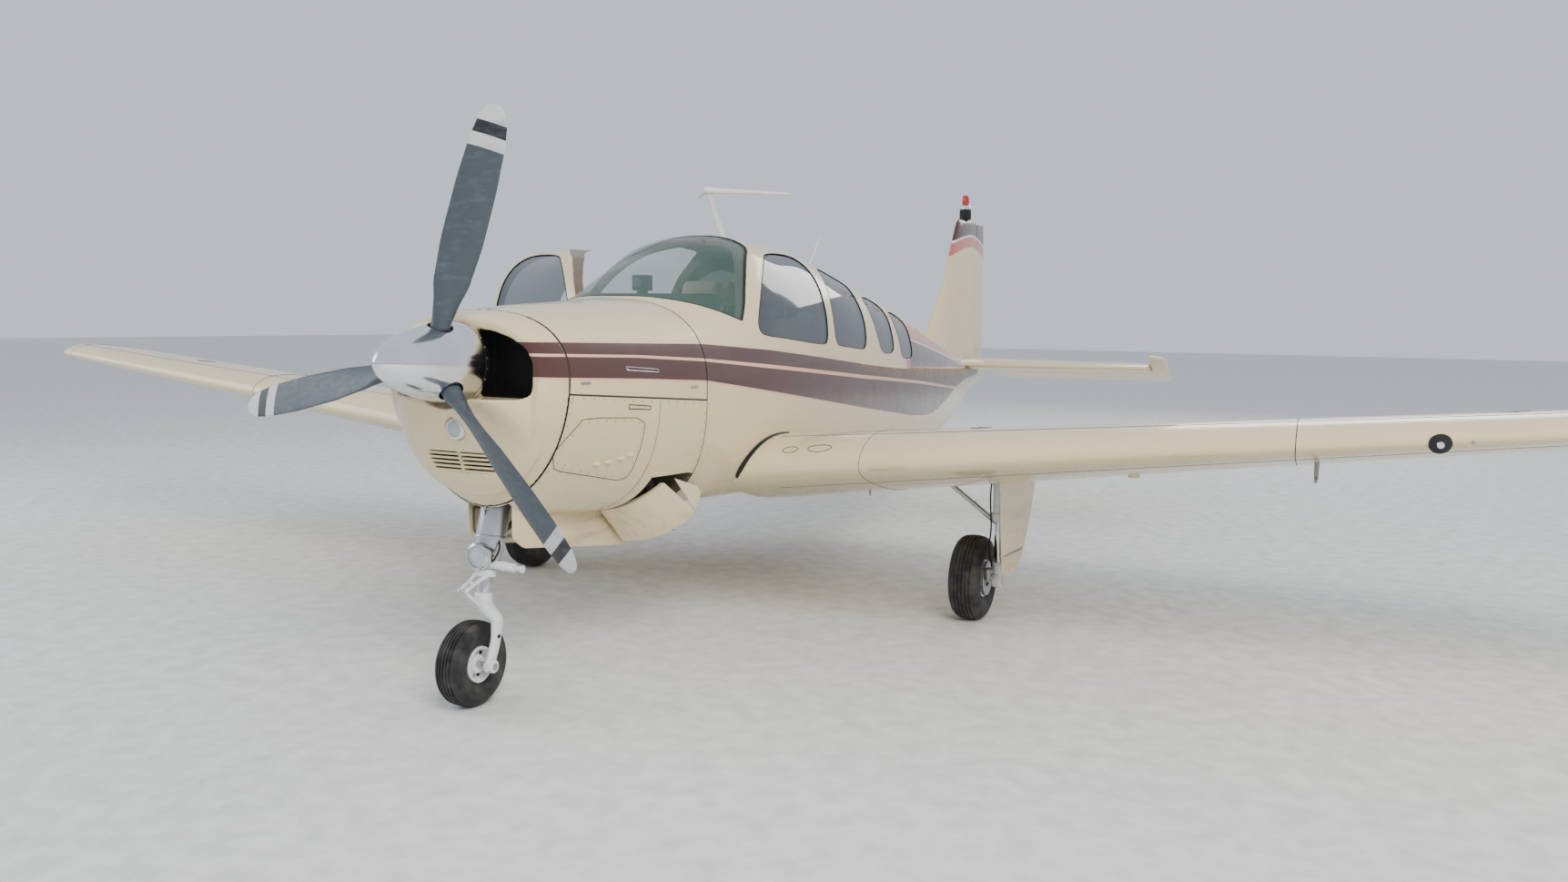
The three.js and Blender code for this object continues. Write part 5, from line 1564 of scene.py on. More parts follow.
# %% Wings, flaps and ailerons
TIP = [(5020, 1.0, 1.0), (5042, 0.996, 0.97), (5060, 0.985, 0.9), (5076, 0.972, 0.78), (5090, 0.95, 0.62),
       (5099, 0.92, 0.42), (5105, 0.88, 0.2)]
LEG_POCKET = ((1535, 2470, 500), (1685, 2690, 905))


def add_wings():
    spans = [wing_section(x) for x in np.linspace(WING["root_x"], WING["tip_x"], 30)]
    spans += [wing_section(*row) for row in TIP[1:]]
    wing = loft([foil_ring(section) for section in spans])
    pad = lathe([(0, 880), (26, 880), (28, 883), (28, 1000), (0, 1000)], axis="Z", centre=(2350, 2260, 0))
    carve(wing, pad, operation="UNION")
    carve(wing, fuselage(FIREWALL, CABIN_REAR, -0.3), bay(*FLAP), bay(*AILERON), block(*LEG_POCKET, edge=0))
    brackets = []
    for inner, outer, start in (FLAP, AILERON):
        for t in (0.12, 0.5, 0.88):
            x, y, z = foil_point(wing_section(inner + t * (outer - inner)), start, 0)
            brackets.append(block((x - 5, y - CLEAR - 12, z - 5), (x + 5, y - 1, z + 5), edge=1))
    brackets = weld(*brackets)
    pieces = [("wing", wing, "airframe", cream), ("wing_brackets", brackets, "airframe", bare_metal),
              ("flap", along_span(*FLAP), "{side}_flap_body", cream),
              ("aileron", along_span(*AILERON), "{side}_aileron_body", cream)]
    for name, piece, body, finish in pieces:
        dress_pair(piece, "{side}_" + name + "_skin", body, "paint", finish,
                   stands_for=None if name == "wing_brackets" else "{side}_" + name)


add_wings()

# %% Tail cone, tailplane, fin and rudder
TAILPLANE_Z = 1222
TAIL_HINGE = 7520
DROOP = math.radians(-20)
FIN_LEADS = [[1180, 5960], [1440, 6140], [1573, 6300], [1879, 6610], [2300, 6885], [2480, 7000]]


def tail_section(x, inward=0, thick=1.0):
    t = (x - 40) / (1855 - 40)
    lead = 6890 + t * (7240 - 6890) + inward
    trail = 7960 + t * (7900 - 7960) - inward / 2
    return (x, lead, TAILPLANE_Z), (x, trail, TAILPLANE_Z), (0, 0, 1), 0.1 * thick, False


def fin_section(height, lead, thick=1.0):
    t = (height - 1180) / (2560 - 1180)
    return (0, lead, height), (0, 8010 + t * (7925 - 8010), height), (1, 0, 0), 0.09 * thick, False


def fin_hinge(height):
    return 7530 + (7600 - 7530) * (height - 1180) / (2560 - 1180)


def add_tail():
    cone = fuselage(CABIN_REAR + 1, 7500)
    dress(cone, "tail_cone_skin", "airframe", "paint", hull, stands_for=("tail_cone",))

    fixed = loft([foil_ring(tail_section(x)) for x in np.linspace(40, 1715, 12)])
    carve(fixed, block((0, TAIL_HINGE - CLEAR, 900), (2000, 8200, 1500), edge=0),
          block((0, 7480, 900), (62, 8200, 1500), edge=0), fuselage(CABIN_REAR + 1, 7500, -0.3))
    brackets = weld(*[block((x - 12, TAIL_HINGE - CLEAR - 12, TAILPLANE_Z - 8),
                            (x + 12, TAIL_HINGE - 1, TAILPLANE_Z + 8), edge=1) for x in (260, 900, 1540)])
    rings = []
    for x in np.linspace(100, 1742, 10):
        front, tail = (spot[1] for spot in tail_section(x)[:2])
        rings.append(control_ring(tail_section(x), (TAIL_HINGE - front) / (tail - front)))
    panel = loft(rings)
    rows = ((1722, 0, 1), (1790, 2, 0.98), (1822, 8, 0.93), (1840, 18, 0.8), (1850, 30, 0.62),
            (1855, 45, 0.4))
    horn = loft([foil_ring(tail_section(*row)) for row in rows])
    elevator = carve(panel, horn, operation="UNION")
    sweep = prism([(0, 7400), (100, 7400), (100, TAIL_HINGE), (390, 8100), (0, 8100)], 2, 900, 1500)
    carve(elevator, sweep)
    elevator.data.transform(hinge_turn((0, TAIL_HINGE, TAILPLANE_Z), (1, 0, 0), DROOP))
    dress_pair(fixed, "{side}_stabilizer_skin", "airframe", "paint", cream, stands_for="{side}_stabilizer")
    dress_pair(brackets, "{side}_stabilizer_brackets", "airframe", "paint", cream)
    dress_pair(elevator, "{side}_elevator_skin", "elevators", "paint", cream, stands_for="{side}_elevator")


def fin_paint():
    """Cream with a brown cap over a white line and a salmon band, all arched to the rear."""
    enamel = Enamel("fin enamel")
    behind = enamel.math("SUBTRACT", enamel.y, 3.574)
    level = enamel.math("MULTIPLY_ADD", enamel.math("MULTIPLY", behind, behind), 0.3, enamel.z)

    def over(height):
        edge = enamel.math("SUBTRACT", level, height)
        return enamel.add("Clamp", 0, enamel.math("MULTIPLY_ADD", edge, 700, 0.5))

    color = enamel.mix(over(2.31), (*CREAM, 1), (*SALMON, 1))
    color = enamel.mix(over(2.404), color, (*WHITE, 1))
    color = enamel.mix(over(2.424), color, (*BROWN, 1))
    return enamel.finished(color)


def add_fin():
    tail_paint = fin_paint()
    leads = bent([(z, y) for z, y in FIN_LEADS], 60)
    rows = [(z, y, 1.0) for z, y in leads] + [(2515, 7028, 0.93), (2538, 7056, 0.82), (2552, 7095, 0.64),
                                              (2560, 7150, 0.42)]
    fin = loft([foil_ring(fin_section(*row)) for row in rows])
    behind = prism([(fin_hinge(1000) - CLEAR, 1000), (fin_hinge(2700) - CLEAR, 2700),
                    (8300, 2700), (8300, 1000)], 0, -300, 300)
    root = loft([foil_ring(tail_section(x, -2, 1.04)) for x in (0, 200)])
    carve(fin, behind, fuselage(CABIN_REAR + 1, 7500, -0.3), twin(root), root)
    dress(fin, "fin_skin", "airframe", "paint", tail_paint, stands_for=("fin",))
    brackets = weld(*[block((-7, fin_hinge(z) - CLEAR - 12, z - 10), (7, fin_hinge(z) - 1, z + 10), edge=1)
                      for z in (1480, 1950, 2420)])
    dress(brackets, "rudder_brackets", "airframe", "paint", tail_paint)
    rings = []
    for height, scale in ((1040, 0.6), (1060, 0.85), (1100, 1), (1500, 1), (2000, 0.95), (2500, 0.85),
                          (2530, 0.68), (2545, 0.45)):
        _, trail, up, thick, _ = fin_section(max(height, 1180), 6900, scale)
        section = (0, 6900, height), (0, trail[1], height), up, thick, False
        rings.append(control_ring(section, (fin_hinge(height) - 6900) / (trail[1] - 6900)))
    dress(loft(rings), "rudder_skin", "rudder_body", "paint", tail_paint, stands_for=("rudder",))


def add_beacon():
    centre = (0, 7290, 2560.3)
    base = lathe([(0, 0), (52, 0), (54, 2), (54, 90), (52, 93), (0, 93)], axis="Z", centre=centre)
    dress(base, "beacon_base", "airframe", "trim", black_trim, stands_for=("tail_beacon",), smooth=50)
    collar = lathe([(0, 93), (52, 93), (53, 95), (53, 112), (46, 126), (36, 130), (0, 130)], axis="Z",
                   centre=centre)
    dress(collar, "beacon_collar", "airframe", "steel", chrome, smooth=50)
    lens = lathe([(0, 130), (34, 130), (34, 136), (32, 140), (34, 144), (32, 148), (34, 152), (31, 214),
                  (28, 220), (20, 222), (0, 222)], axis="Z", centre=centre)
    dress(lens, "beacon_lens", "airframe", "lamp", red_lens, smooth=50)


add_tail()
add_fin()
add_beacon()

# %% [markdown]
# ## Propeller
# The spinner is spun from its profile and polished, with three round openings for the blade shanks
# and a ring of screws at its rear edge. A blade is a loft of flattened rings that turn and thin out
# towards the tip. Its bands are painted by the distance from the shaft, so they turn with it.

# %% Blade finish
BLADE = [
    [72, 76, 76, 62], [165, 76, 76, 62], [235, 98, 52, 52], [330, 138, 34, 42], [500, 160, 22, 32],
    [700, 160, 16, 26], [860, 146, 12, 22], [960, 118, 9, 20], [1004, 72, 6, 19], [1016, 30, 5, 19],
]
SPINNER = [(0, -298), (10, -297), (22, -292), (36, -281), (52, -266), (68, -243), (84, -214), (98, -184),
           (112, -150), (125, -113), (136, -74), (145, -35), (152, 6), (158, 44), (162, 80), (165, 118),
           (166, 148), (165, 150), (0, 150)]
BLADE_GREY = srgb(66, 74, 82)
HUB = place(0, 0, PROP_HUB_Z)


def blade_paint():
    finish = Finish("blade enamel", BLADE_GREY, specular_ior_level=0.4)
    x = finish.add("SeparateXYZ", 0, finish.add("Mapping", 0, finish.place, -HUB))
    z = x.node.outputs[2]
    squares = finish.math("ADD", finish.math("MULTIPLY", x, x), finish.math("MULTIPLY", z, z))
    reach = finish.math("SQRT", squares)
    pale = (*srgb(196, 198, 198), 1)
    color = pale
    for start, paint in ((0.95, (*srgb(38, 41, 46), 1)), (0.902, pale), (0.852, (*BLADE_GREY, 1))):
        past = finish.math("SUBTRACT", reach, start)
        edge = finish.add("Clamp", 0, finish.math("MULTIPLY_ADD", past, 600, 0.5))
        color = finish.mix(edge, paint, color)
    wear = finish.stretch(finish.noise(16, 5, finish.scaled(1, 1, 2.5)), 0.5, 0.75, 0, 0.35)
    color = finish.mix(wear, color, (*srgb(104, 110, 116), 1))
    rough = finish.stretch(finish.noise(60, 3), 0.3, 0.7, 0.34, 0.48)
    return finish.done(color, rough, finish.bump(finish.noise(190, 2), 0.08, 0.0006))


def blade_ring(radius, chord, thick, angle, around=28):
    points = []
    c, s = math.cos(math.radians(angle)), math.sin(math.radians(angle))
    flat = min(1.0, max(0.0, (radius - 165) / 200))
    for k in range(around):
        t = 2 * math.pi * k / around
        u = chord / 2 * math.cos(t)
        v = thick / 2 * math.sin(t) * (1 + 0.25 * flat * math.cos(t))
        points.append((u * c - v * s, MIDDLE + u * s + v * c, radius))
    return points


def bent_row(rows, at):
    """The blade's table at any radius, on a curve that doesn't overshoot."""
    i = min(len(rows) - 2, max(0, int(np.searchsorted(rows[:, 0], at, side="right")) - 1))
    t = (at - rows[i, 0]) / (rows[i + 1, 0] - rows[i, 0])
    soft = t * t * (3 - 2 * t)
    mixed = 0.5 * t + 0.5 * soft
    row = rows[i] + mixed * (rows[i + 1] - rows[i])
    row[0] = at
    return row


def add_propeller():
    paint = blade_paint()
    rows = np.array(BLADE, float)
    radii = np.concatenate([np.linspace(72, 940, 34), np.linspace(955, 1010, 12), [1013.5, 1016]])
    table = [bent_row(rows, r) for r in radii]
    base = loft([blade_ring(*row) for row in table])
    shaft_turn = (Matrix.Translation(HUB) @ Matrix.Rotation(-PROP_TILT, 4, "X")
                  @ Matrix.Rotation(PROP_TURN, 4, "Y"))
    cone = lathe(SPINNER, steps=96, axis="Y", centre=(0, MIDDLE, 0))
    screws = []
    for i in range(3):
        turn = Matrix.Rotation(math.radians(120 * i), 4, "Y")
        hole = rod((0, MIDDLE, 71.5), (0, MIDDLE, 400), 50, sides=48, edge=0)
        hole.data.transform(turn)
        carve(cone, hole)
        cuff = tube([(47.5 * math.cos(a), MIDDLE + 47.5 * math.sin(a), 146 - 10 * abs(math.sin(a)))
                     for a in circle(32)], 3.4, 8, True)
        cuff.data.transform(shaft_turn @ turn)
        dress(cuff, f"shank_seal_{i + 1}", "propeller", "trim", seal_rubber)
        blade = twin(base, shaft_turn @ turn)
        dress(blade, f"blade_{i + 1}_skin", "propeller", "blade", paint, smooth=60,
              stands_for=(f"blade_{i + 1}",))
    bpy.data.objects.remove(base)
    for k in range(24):
        a = math.radians(15 * k + 4)
        screws.append(((165.6 * math.sin(a), MIDDLE + 138, 165.6 * math.cos(a)),
                       (math.sin(a), 0.05, math.cos(a))))
    heads = domes(screws, 4.4, 1.2, 8)
    rim = lathe([(163.5, 127), (166.2, 128), (166.2, 129.2), (163.5, 130.2)], steps=96, axis="Y",
                centre=(0, MIDDLE, 0))
    for piece, name, finish, nodes in ((cone, "spinner_skin", chrome, ("spinner",)),
                                       (heads, "spinner_screws", mirror_steel, ()),
                                       (rim, "spinner_edge_line", black_trim, ())):
        piece.data.transform(shaft_turn)
        dress(piece, name, "propeller", "metal" if name != "spinner_edge_line" else "trim", finish,
              stands_for=nodes)


add_propeller()

# %% [markdown]
# ## Landing gear
# Wheels and tyres are turned pieces; the tread's grooves are in the profile. The nose leg has a
# bright housing with a lamp, torque links, a steering damper and a one-sided fork. Castings and
# tubes are rods with bevelled rims, welded together where the real ones are one forging.

# %% Wheels and tyres
def tyre_profile(radius, width, rim, grooves):
    half = width / 2
    crown = radius - rim
    side = [(rim + 0.3, 0.62), (rim + crown * 0.08, 0.74), (rim + crown * 0.2, 0.84),
            (rim + crown * 0.36, 0.95), (rim + crown * 0.42, 0.972), (rim + crown * 0.44, 0.952),
            (rim + crown * 0.52, 0.985), (rim + crown * 0.66, 0.97), (rim + crown * 0.8, 0.87),
            (rim + crown * 0.9, 0.72), (radius - crown * 0.04, 0.52)]
    tread = []
    for g in grooves:
        lift = radius - crown * 0.04 * (abs(g) / 0.52) ** 2
        for offset, drop in ((-4, 0), (-2.6, 5), (2.6, 5), (4, 0)):
            tread.append((lift - drop, g * half + offset))
    left = [(r, -w * half) for r, w in side]
    right = [(r, w * half) for r, w in reversed(side)]
    return [*left, *tread, *right]


def wheel_profile(width, rim, bore):
    half = width / 2
    return [(bore, -half * 0.6), (bore + 20, -half * 0.62), (bore + 24, -half * 0.5),
            (bore + 28, -half * 0.3), (rim - 20, -half * 0.26), (rim - 15, -half * 0.34),
            (rim - 12, -half * 0.7), (rim - 10, -half * 0.755), (rim - 1, -half * 0.755),
            (rim, -half * 0.73), (rim, half * 0.73), (rim - 1, half * 0.755), (rim - 10, half * 0.755),
            (rim - 12, half * 0.7), (rim - 15, half * 0.34), (rim - 20, half * 0.26),
            (bore + 28, half * 0.3), (bore + 24, half * 0.5), (bore + 20, half * 0.62), (bore, half * 0.6)]


def add_wheel(prefix, body, x, y, z, radius, width, rim, bore, sign=1):
    tyre = lathe(tyre_profile(radius, width, rim, (-0.46, -0.24, 0, 0.24, 0.46)), steps=96,
                 centre=(x, y, z))
    dress(tyre, f"{prefix}_tyre_rubber", body, "tyre", black_rubber, smooth=40,
          stands_for=(f"{prefix}_tyre",))
    wheel = lathe(wheel_profile(width, rim, bore), steps=64, centre=(x, y, z))
    bolts = []
    for k in range(6):
        a = math.radians(60 * k + 12)
        for side in (1, -1):
            r = (bore + rim) / 2 + 4
            spot = (x + side * width / 2 * 0.29, y + r * math.sin(a), z + r * math.cos(a))
            bolts.append((spot, (side, 0, 0)))
    dress(wheel, f"{prefix}_wheel_rim", body, "white", white_enamel, smooth=40,
          stands_for=(f"{prefix}_wheel",))
    dress(domes(bolts, 7, 8, 6), f"{prefix}_wheel_bolts", body, "steel", housing)
    # Three dark discs on the wheel's face are painted shade, standing for its holes.
    hole_shades = []
    for k in range(3):
        a = math.radians(120 * k + 42)
        r = (bore + rim) / 2 + 6
        spot = (x + sign * width / 2 * 0.29, y + r * math.sin(a), z + r * math.cos(a))
        hole_shades.append(rod(spot, (spot[0] + sign * 2, spot[1], spot[2]), 9, sides=20, edge=0.5))
    dress(weld(*hole_shades), f"{prefix}_wheel_hole_shades", body, "trim", shade_black)
    valve = rod((x + sign * width * 0.28, y + rim - 26, z), (x + sign * width * 0.4, y + rim - 30, z), 3,
                2.4, 12, 0.6)
    dress(valve, f"{prefix}_wheel_valve", body, "trim", seal_rubber)


NOSE_WHEEL = {"x": 0, "y": 212, "z": 179.5, "radius": 179.5, "width": 130, "rim": 76, "bore": 16}
MAIN_WHEEL = {"x": 1470, "y": 2606, "z": 231, "radius": 231, "width": 176, "rim": 102, "bore": 22}
add_wheel("nose", "nose_roller", **NOSE_WHEEL)
add_wheel("left_main", "left_roller", **MAIN_WHEEL)
add_wheel("right_main", "right_roller", **{**MAIN_WHEEL, "x": -1470}, sign=-1)

# %% Nose leg, lamp, links and fork
LEG_TOP = (0, 383, 905)
LEG_FOOT = (0, 262, 290)
COLLAR = 560


def leg(z):
    t = (z - LEG_FOOT[2]) / (LEG_TOP[2] - LEG_FOOT[2])
    return tuple(foot + t * (top - foot) for foot, top in zip(LEG_FOOT, LEG_TOP))


def add_nose_leg():
    top = (0, LEG_TOP[1] + 32, LEG_TOP[2])
    parts = [rod(top, leg(640), 66, 62, 40, 2), rod(leg(642), leg(COLLAR), 62, 44, 40, 3),
             rod(leg(700), leg(684), 67, 67, 40, 3), rod(leg(600), leg(588), 57, 57, 40, 3),
             rod((-117, leg(885)[1], 885), (117, leg(885)[1], 885), 24, sides=28),
             rod((0, 380, 660), (0, 760, 880), 14, sides=20),
             rod((-117, 760, 880), (117, 760, 880), 14, sides=20)]
    dress(weld(*parts), "nose_leg_housing", "airframe", "steel", housing, stands_for=("nose_leg",),
          smooth=45)
    pod = lathe([(0, 66), (50, 66), (56, 60), (59, 50), (59, 8), (56, 0), (47, -4), (46, 2), (44, 14),
                 (0, 22)], axis="Y", centre=(0, 252, 622), steps=56)
    dress(pod, "taxi_lamp_pod", "airframe", "steel", mirror_steel, smooth=50)
    lens = lathe([(0, 3), (24, 4), (46.5, 8), (46.5, 11), (0, 8)], axis="Y", centre=(0, 252, 622), steps=56)
    dress(lens, "taxi_lamp_lens", "airframe", "glass", clear_glass, smooth=60)
    damper = weld(rod((20, 300, 588), (150, 316, 577), 19, sides=28),
                  rod((150, 316, 577), (176, 318, 575), 12, sides=20),
                  rod((176, 318, 575), (190, 320, 574), 16, sides=20),
                  rod((96, 309, 581), (106, 310, 580), 21, sides=28))
    dress(damper, "steering_damper", "airframe", "white", white_enamel, smooth=45)
    hoses = [tube(bent([(48, 340, 700), (74, 306, 645), (62, 286, 608), (30, 290, 585)], 8), 4, 8),
             tube(bent([(-50, 345, 700), (-64, 330, 620), (-50, 300, 575)], 8), 4, 8)]
    dress(weld(*hoses), "leg_hoses", "airframe", "trim", seal_rubber, smooth=60)


def link(start, end, width_start, width_end, thick):
    """One torque link: a flat forked arm, wide where it is pinned and hollow in the middle."""
    start, end = np.array(start, float), np.array(end, float)
    way = (end - start) / np.linalg.norm(end - start)
    side = np.array((1.0, 0, 0))
    up = np.cross(way, side)
    rails = []
    for sign in (1, -1):
        path = [start + side * sign * width_start, start + way * 14 + side * sign * width_start * 0.92,
                (start + end) / 2 + side * sign * (width_start + width_end) * 0.42,
                end - way * 12 + side * sign * width_end, end + side * sign * width_end * 0.9]
        rings = []
        for spot in bent(path, 8):
            rings.append([spot + side * 5.5 * c + up * thick * s for c, s in
                          [(math.cos(t), math.sin(t)) for t in circle(12)]])
        rails.append(loft(rings))
    pins = [rod(start - side * (width_start + 8), start + side * (width_start + 8), 8, sides=20, edge=1.5),
            rod(end - side * (width_end + 7), end + side * (width_end + 7), 8, sides=20, edge=1.5)]
    web = tube([(start + end) / 2 - side * width_start * 0.8, (start + end) / 2 + side * width_start * 0.8],
               5, 10)
    return weld(*rails, *pins, web)


def squared(share):
    """A sine or cosine pushed outwards, for an oval with fuller corners."""
    return math.copysign(abs(share) ** 0.8, share)


def add_fork():
    y, z = NOSE_WHEEL["y"], NOSE_WHEEL["z"]
    knee = (0, 165, 495)
    piston = rod(leg(COLLAR - 1), leg(430), 27, sides=36, edge=1)
    dress(piston, "nose_strut_piston", "nose_steering", "metal", mirror_steel, smooth=45)
    ring_piece = weld(rod(leg(COLLAR - 1), leg(528), 44, sides=40, edge=4),
                      rod(leg(540), (0, leg(540)[1] - 34, 540), 16, 12),
                      link((0, leg(540)[1] - 32, 538), knee, 30, 17, 9),
                      link((0, 228, 428), knee, 26, 12, 9))
    dress(ring_piece, "torque_links", "nose_steering", "white", white_enamel, smooth=50)
    path = bent([(0, leg(440)[1], 446), (14, leg(415)[1] - 2, 414), (58, 264, 392), (92, 262, 366),
                 (100, 252, 322), (101, 244, 284), (99, 228, 232), (96, y + 2, z + 10), (95, y, z - 16)], 9)
    rings = []
    span = len(path) - 1
    for i, spot in enumerate(path):
        way = Vector(path[min(i + 1, span)] - path[max(i - 1, 0)]).normalized()
        across = Vector((0, 1, 0)) - way * way.y
        across.normalize()
        thin = way.cross(across)
        t = i / span
        wide = 38 - 12 * min(1, t * 2.2) + 6 * max(0, (t - 0.85) / 0.15)
        deep = 34 - 19 * min(1, t * 1.6)
        rings.append([Vector(spot) + across * wide * squared(math.cos(a))
                      + thin * deep * squared(math.sin(a)) for a in circle(24)])
    fork = weld(loft(rings), rod((82, y, z), (122, y, z), 30, 27, 36, 4),
                rod(leg(462), leg(400), 38, 36, 36, 4))
    dress(fork, "nose_fork_arm", "nose_steering", "white", white_enamel, smooth=50,
          stands_for=("nose_fork",))
    axle = weld(rod((-46, y, z), (116, y, z), 15, sides=28, edge=1),
                rod((110, y, z), (126, y, z), 15, sides=6, edge=1.5),
                rod((-50, y, z), (-40, y, z), 20, sides=6, edge=1.5))
    dress(axle, "nose_axle", "nose_steering", "steel", housing)
    # A dark disc on the fork arm is painted shade, standing for the towing hole.
    towing_hole_shade = rod((104, 246, 300), (118, 246, 300), 9, sides=20, edge=1)
    dress(towing_hole_shade, "fork_towing_hole_shade", "nose_steering", "trim", shade_black)


add_nose_leg()
add_fork()

# %% Nose doors
NOSE_DOOR = [[345, 842], [345, 690], [420, 640], [1000, 552], [1235, 520], [1215, 722], [900, 745],
             [600, 785]]
door = prism(rounded(NOSE_DOOR, 18), 0, 112, 117.7)
rib = prism(rounded(inset(NOSE_DOOR, 22), 18), 0, 108.5, 112.5)
carve(rib, prism(rounded(inset(NOSE_DOOR, 34), 18), 0, 100, 120))
bevel_rims(door, 1.6)
for side, panel, frame_rib in (("left", door, rib), ("right", twin(door), twin(rib))):
    dress(panel, f"{side}_nose_door_skin", "airframe", "paint", cream, stands_for=(f"{side}_nose_door",))
    dress(frame_rib, f"{side}_nose_door_rib", "airframe", "paint", bare_metal)

# %% [markdown]
# ## Main gear
# Each main leg is a forged tube with an axle that points inwards, a brake on the wheel's outer side,
# torque links behind it, a drag brace that runs up under the wing, and a door that is bolted to it.
# The port leg is built once and mirrored.

# %% Main legs, brakes and doors
# Height, then x and y of the front and the rear edge: the door stands a little askew
GEAR_DOOR = [(300, 1683, 2400, 1711, 2600), (360, 1683, 2381, 1719, 2645), (420, 1683, 2365, 1725, 2680),
             (600, 1683, 2325, 1732, 2780), (760, 1681, 2300, 1736, 2850), (850, 1678, 2300, 1745, 2850)]


def wing_blank(lift=0.0):
    """The wing's own surface over the leg, as a cutter."""
    blank = loft([foil_ring(wing_section(x)) for x in np.linspace(1380, 1860, 7)])
    blank.data.transform(Matrix.Translation((0, 0, lift / 1000)))
    return blank


def gear_door(inward):
    rings = []
    for z, x0, y0, x1, y1 in GEAR_DOOR:
        rings.append([(x0 - inward, y0, z), (x1 - inward, y1, z), (x1 + 5, y1, z), (x0 + 5, y0, z)])
    return loft(rings)


def main_leg():
    x, y, z = MAIN_WHEEL["x"], MAIN_WHEEL["y"], MAIN_WHEEL["z"]
    leg_x = 1612
    tube_parts = [rod((leg_x, 2575, 904.7), (leg_x, 2590, 560), 36, sides=36, edge=2),
                  rod((leg_x, 2589, 600), (leg_x, 2590, 556), 43, sides=36, edge=4),
                  rod((leg_x, 2581, 770), (leg_x, 2582, 750), 41, sides=36, edge=3),
                  rod((1536, 2575, 868), (1684, 2575, 868), 26, sides=28)]
    piston = rod((leg_x, 2590, 575), (leg_x, y, z - 26), 26, sides=36, edge=2)
    hub_parts = [rod((leg_x + 18, y, z), (leg_x - 28, y, z), 44, sides=36, edge=5),
                 rod((leg_x, 2601, 330), (leg_x, 2604, 268), 34, 38, 32, 4)]
    axle = rod((leg_x + 14, y, z), (x - 60, y, z), 21, sides=28, edge=1.5)
    links = [rod((leg_x, 2596, 556), (leg_x, 2640, 552), 12, sides=16),
             rod((leg_x, 2602, 300), (leg_x, 2640, 306), 12, sides=16)]
    knee_y, knee_z = 2700, 430
    for pin_z in (552, 306):
        rails = [rod((leg_x + side * 17, 2632, pin_z), (leg_x + side * 9, knee_y, knee_z), 7, 6, 12, 1.5)
                 for side in (1, -1)]
        links += [*rails, rod((leg_x - 24, 2632, pin_z), (leg_x + 24, 2632, pin_z), 9, sides=16, edge=1.5)]
    links.append(rod((leg_x - 18, knee_y, knee_z), (leg_x + 18, knee_y, knee_z), 9, sides=16, edge=1.5))
    brace = [rod((leg_x - 10, 2585, 540), (1330, 2575, 745), 13, sides=24, edge=2),
             rod((leg_x - 14, 2586, 540), (leg_x + 8, 2586, 540), 20, sides=24, edge=3),
             rod((1470, 2580, 643), (1476, 2580, 638.5), 17, sides=24, edge=2)]
    stays = [rod((leg_x, 2585, 470), (1709, 2572, 490), 9, sides=16, edge=1),
             rod((leg_x, 2580, 700), (1708, 2560, 700), 9, sides=16, edge=1)]
    hose = tube(bent([(leg_x - 30, 2560, 860), (leg_x - 42, 2548, 700), (leg_x - 36, 2556, 520),
                      (leg_x - 46, 2570, 380), (leg_x - 34, 2590, 300)], 10), 4.5, 8)
    caliper = [block((leg_x - 52, y - 104, z + 8), (leg_x - 22, y - 40, z + 72), edge=7),
               rod((leg_x - 56, y - 66, z + 22), (leg_x - 16, y - 66, z + 22), 15, sides=20, edge=2),
               rod((leg_x - 56, y - 66, z + 56), (leg_x - 16, y - 66, z + 56), 15, sides=20, edge=2)]
    disc = lathe([(48, 74), (92, 74), (93, 76), (93, 82), (92, 84), (48, 84), (46, 82), (46, 76)], steps=56,
                 centre=(x, y, z))
    return {"leg": (tube_parts, white_enamel, "steel"), "piston": ([piston], mirror_steel, "steel"),
            "axle": ([*hub_parts, axle, *links], white_enamel, "white"),
            "brace": ([*brace, *stays], housing, "steel"),
            "hose": ([hose], seal_rubber, "trim"), "caliper": (caliper, bare_metal, "steel")}, disc


def add_main_gear():
    groups, disc = main_leg()
    door = carve(gear_door(0), wing_blank(), wing_blank(-0.5))
    leg = weld(*groups["leg"][0])
    carve(leg, gear_door(0.3))
    for name, (parts, finish, slot) in groups.items():
        piece = leg if name == "leg" else weld(*parts)
        dress_pair(piece, "{side}_main_" + name + "_parts", "airframe", slot, finish, smooth=45,
                   stands_for="{side}_main_leg" if name == "leg" else None)
    dress_pair(disc, "{side}_brake_disc", "{side}_roller", "steel", housing, smooth=40)
    band = [(1683 - 2.5 + t * 41, 2372 + t * 285, 402 + 6 * t) for t in np.linspace(0.03, 0.97, 9)]
    edge = [(x0 - 2.5, y0 + 22, z) for z, x0, y0, _, _ in GEAR_DOOR[1:-1]]
    stiffeners = weld(tube(band, 9, 8), tube(edge, 5, 8))
    dress_pair(door, "{side}_gear_door_skin", "airframe", "paint", cream, stands_for="{side}_gear_door")
    dress_pair(stiffeners, "{side}_gear_door_ribs", "airframe", "paint", bare_metal)


add_main_gear()

# %% [markdown]
# ## Antennas and the wing's small parts
# The V antenna stands on a faired mast. The wings carry a pitot tube, a stall warner, filler caps,
# a small light in the leading edge, the outer panel's joint and the rubber seal at the root.

# %% Antennas
def stretched(centre, factors):
    to = Matrix.Translation(place(*centre, 0))
    return to @ Matrix.Diagonal((*factors, 1, 1)) @ to.inverted()


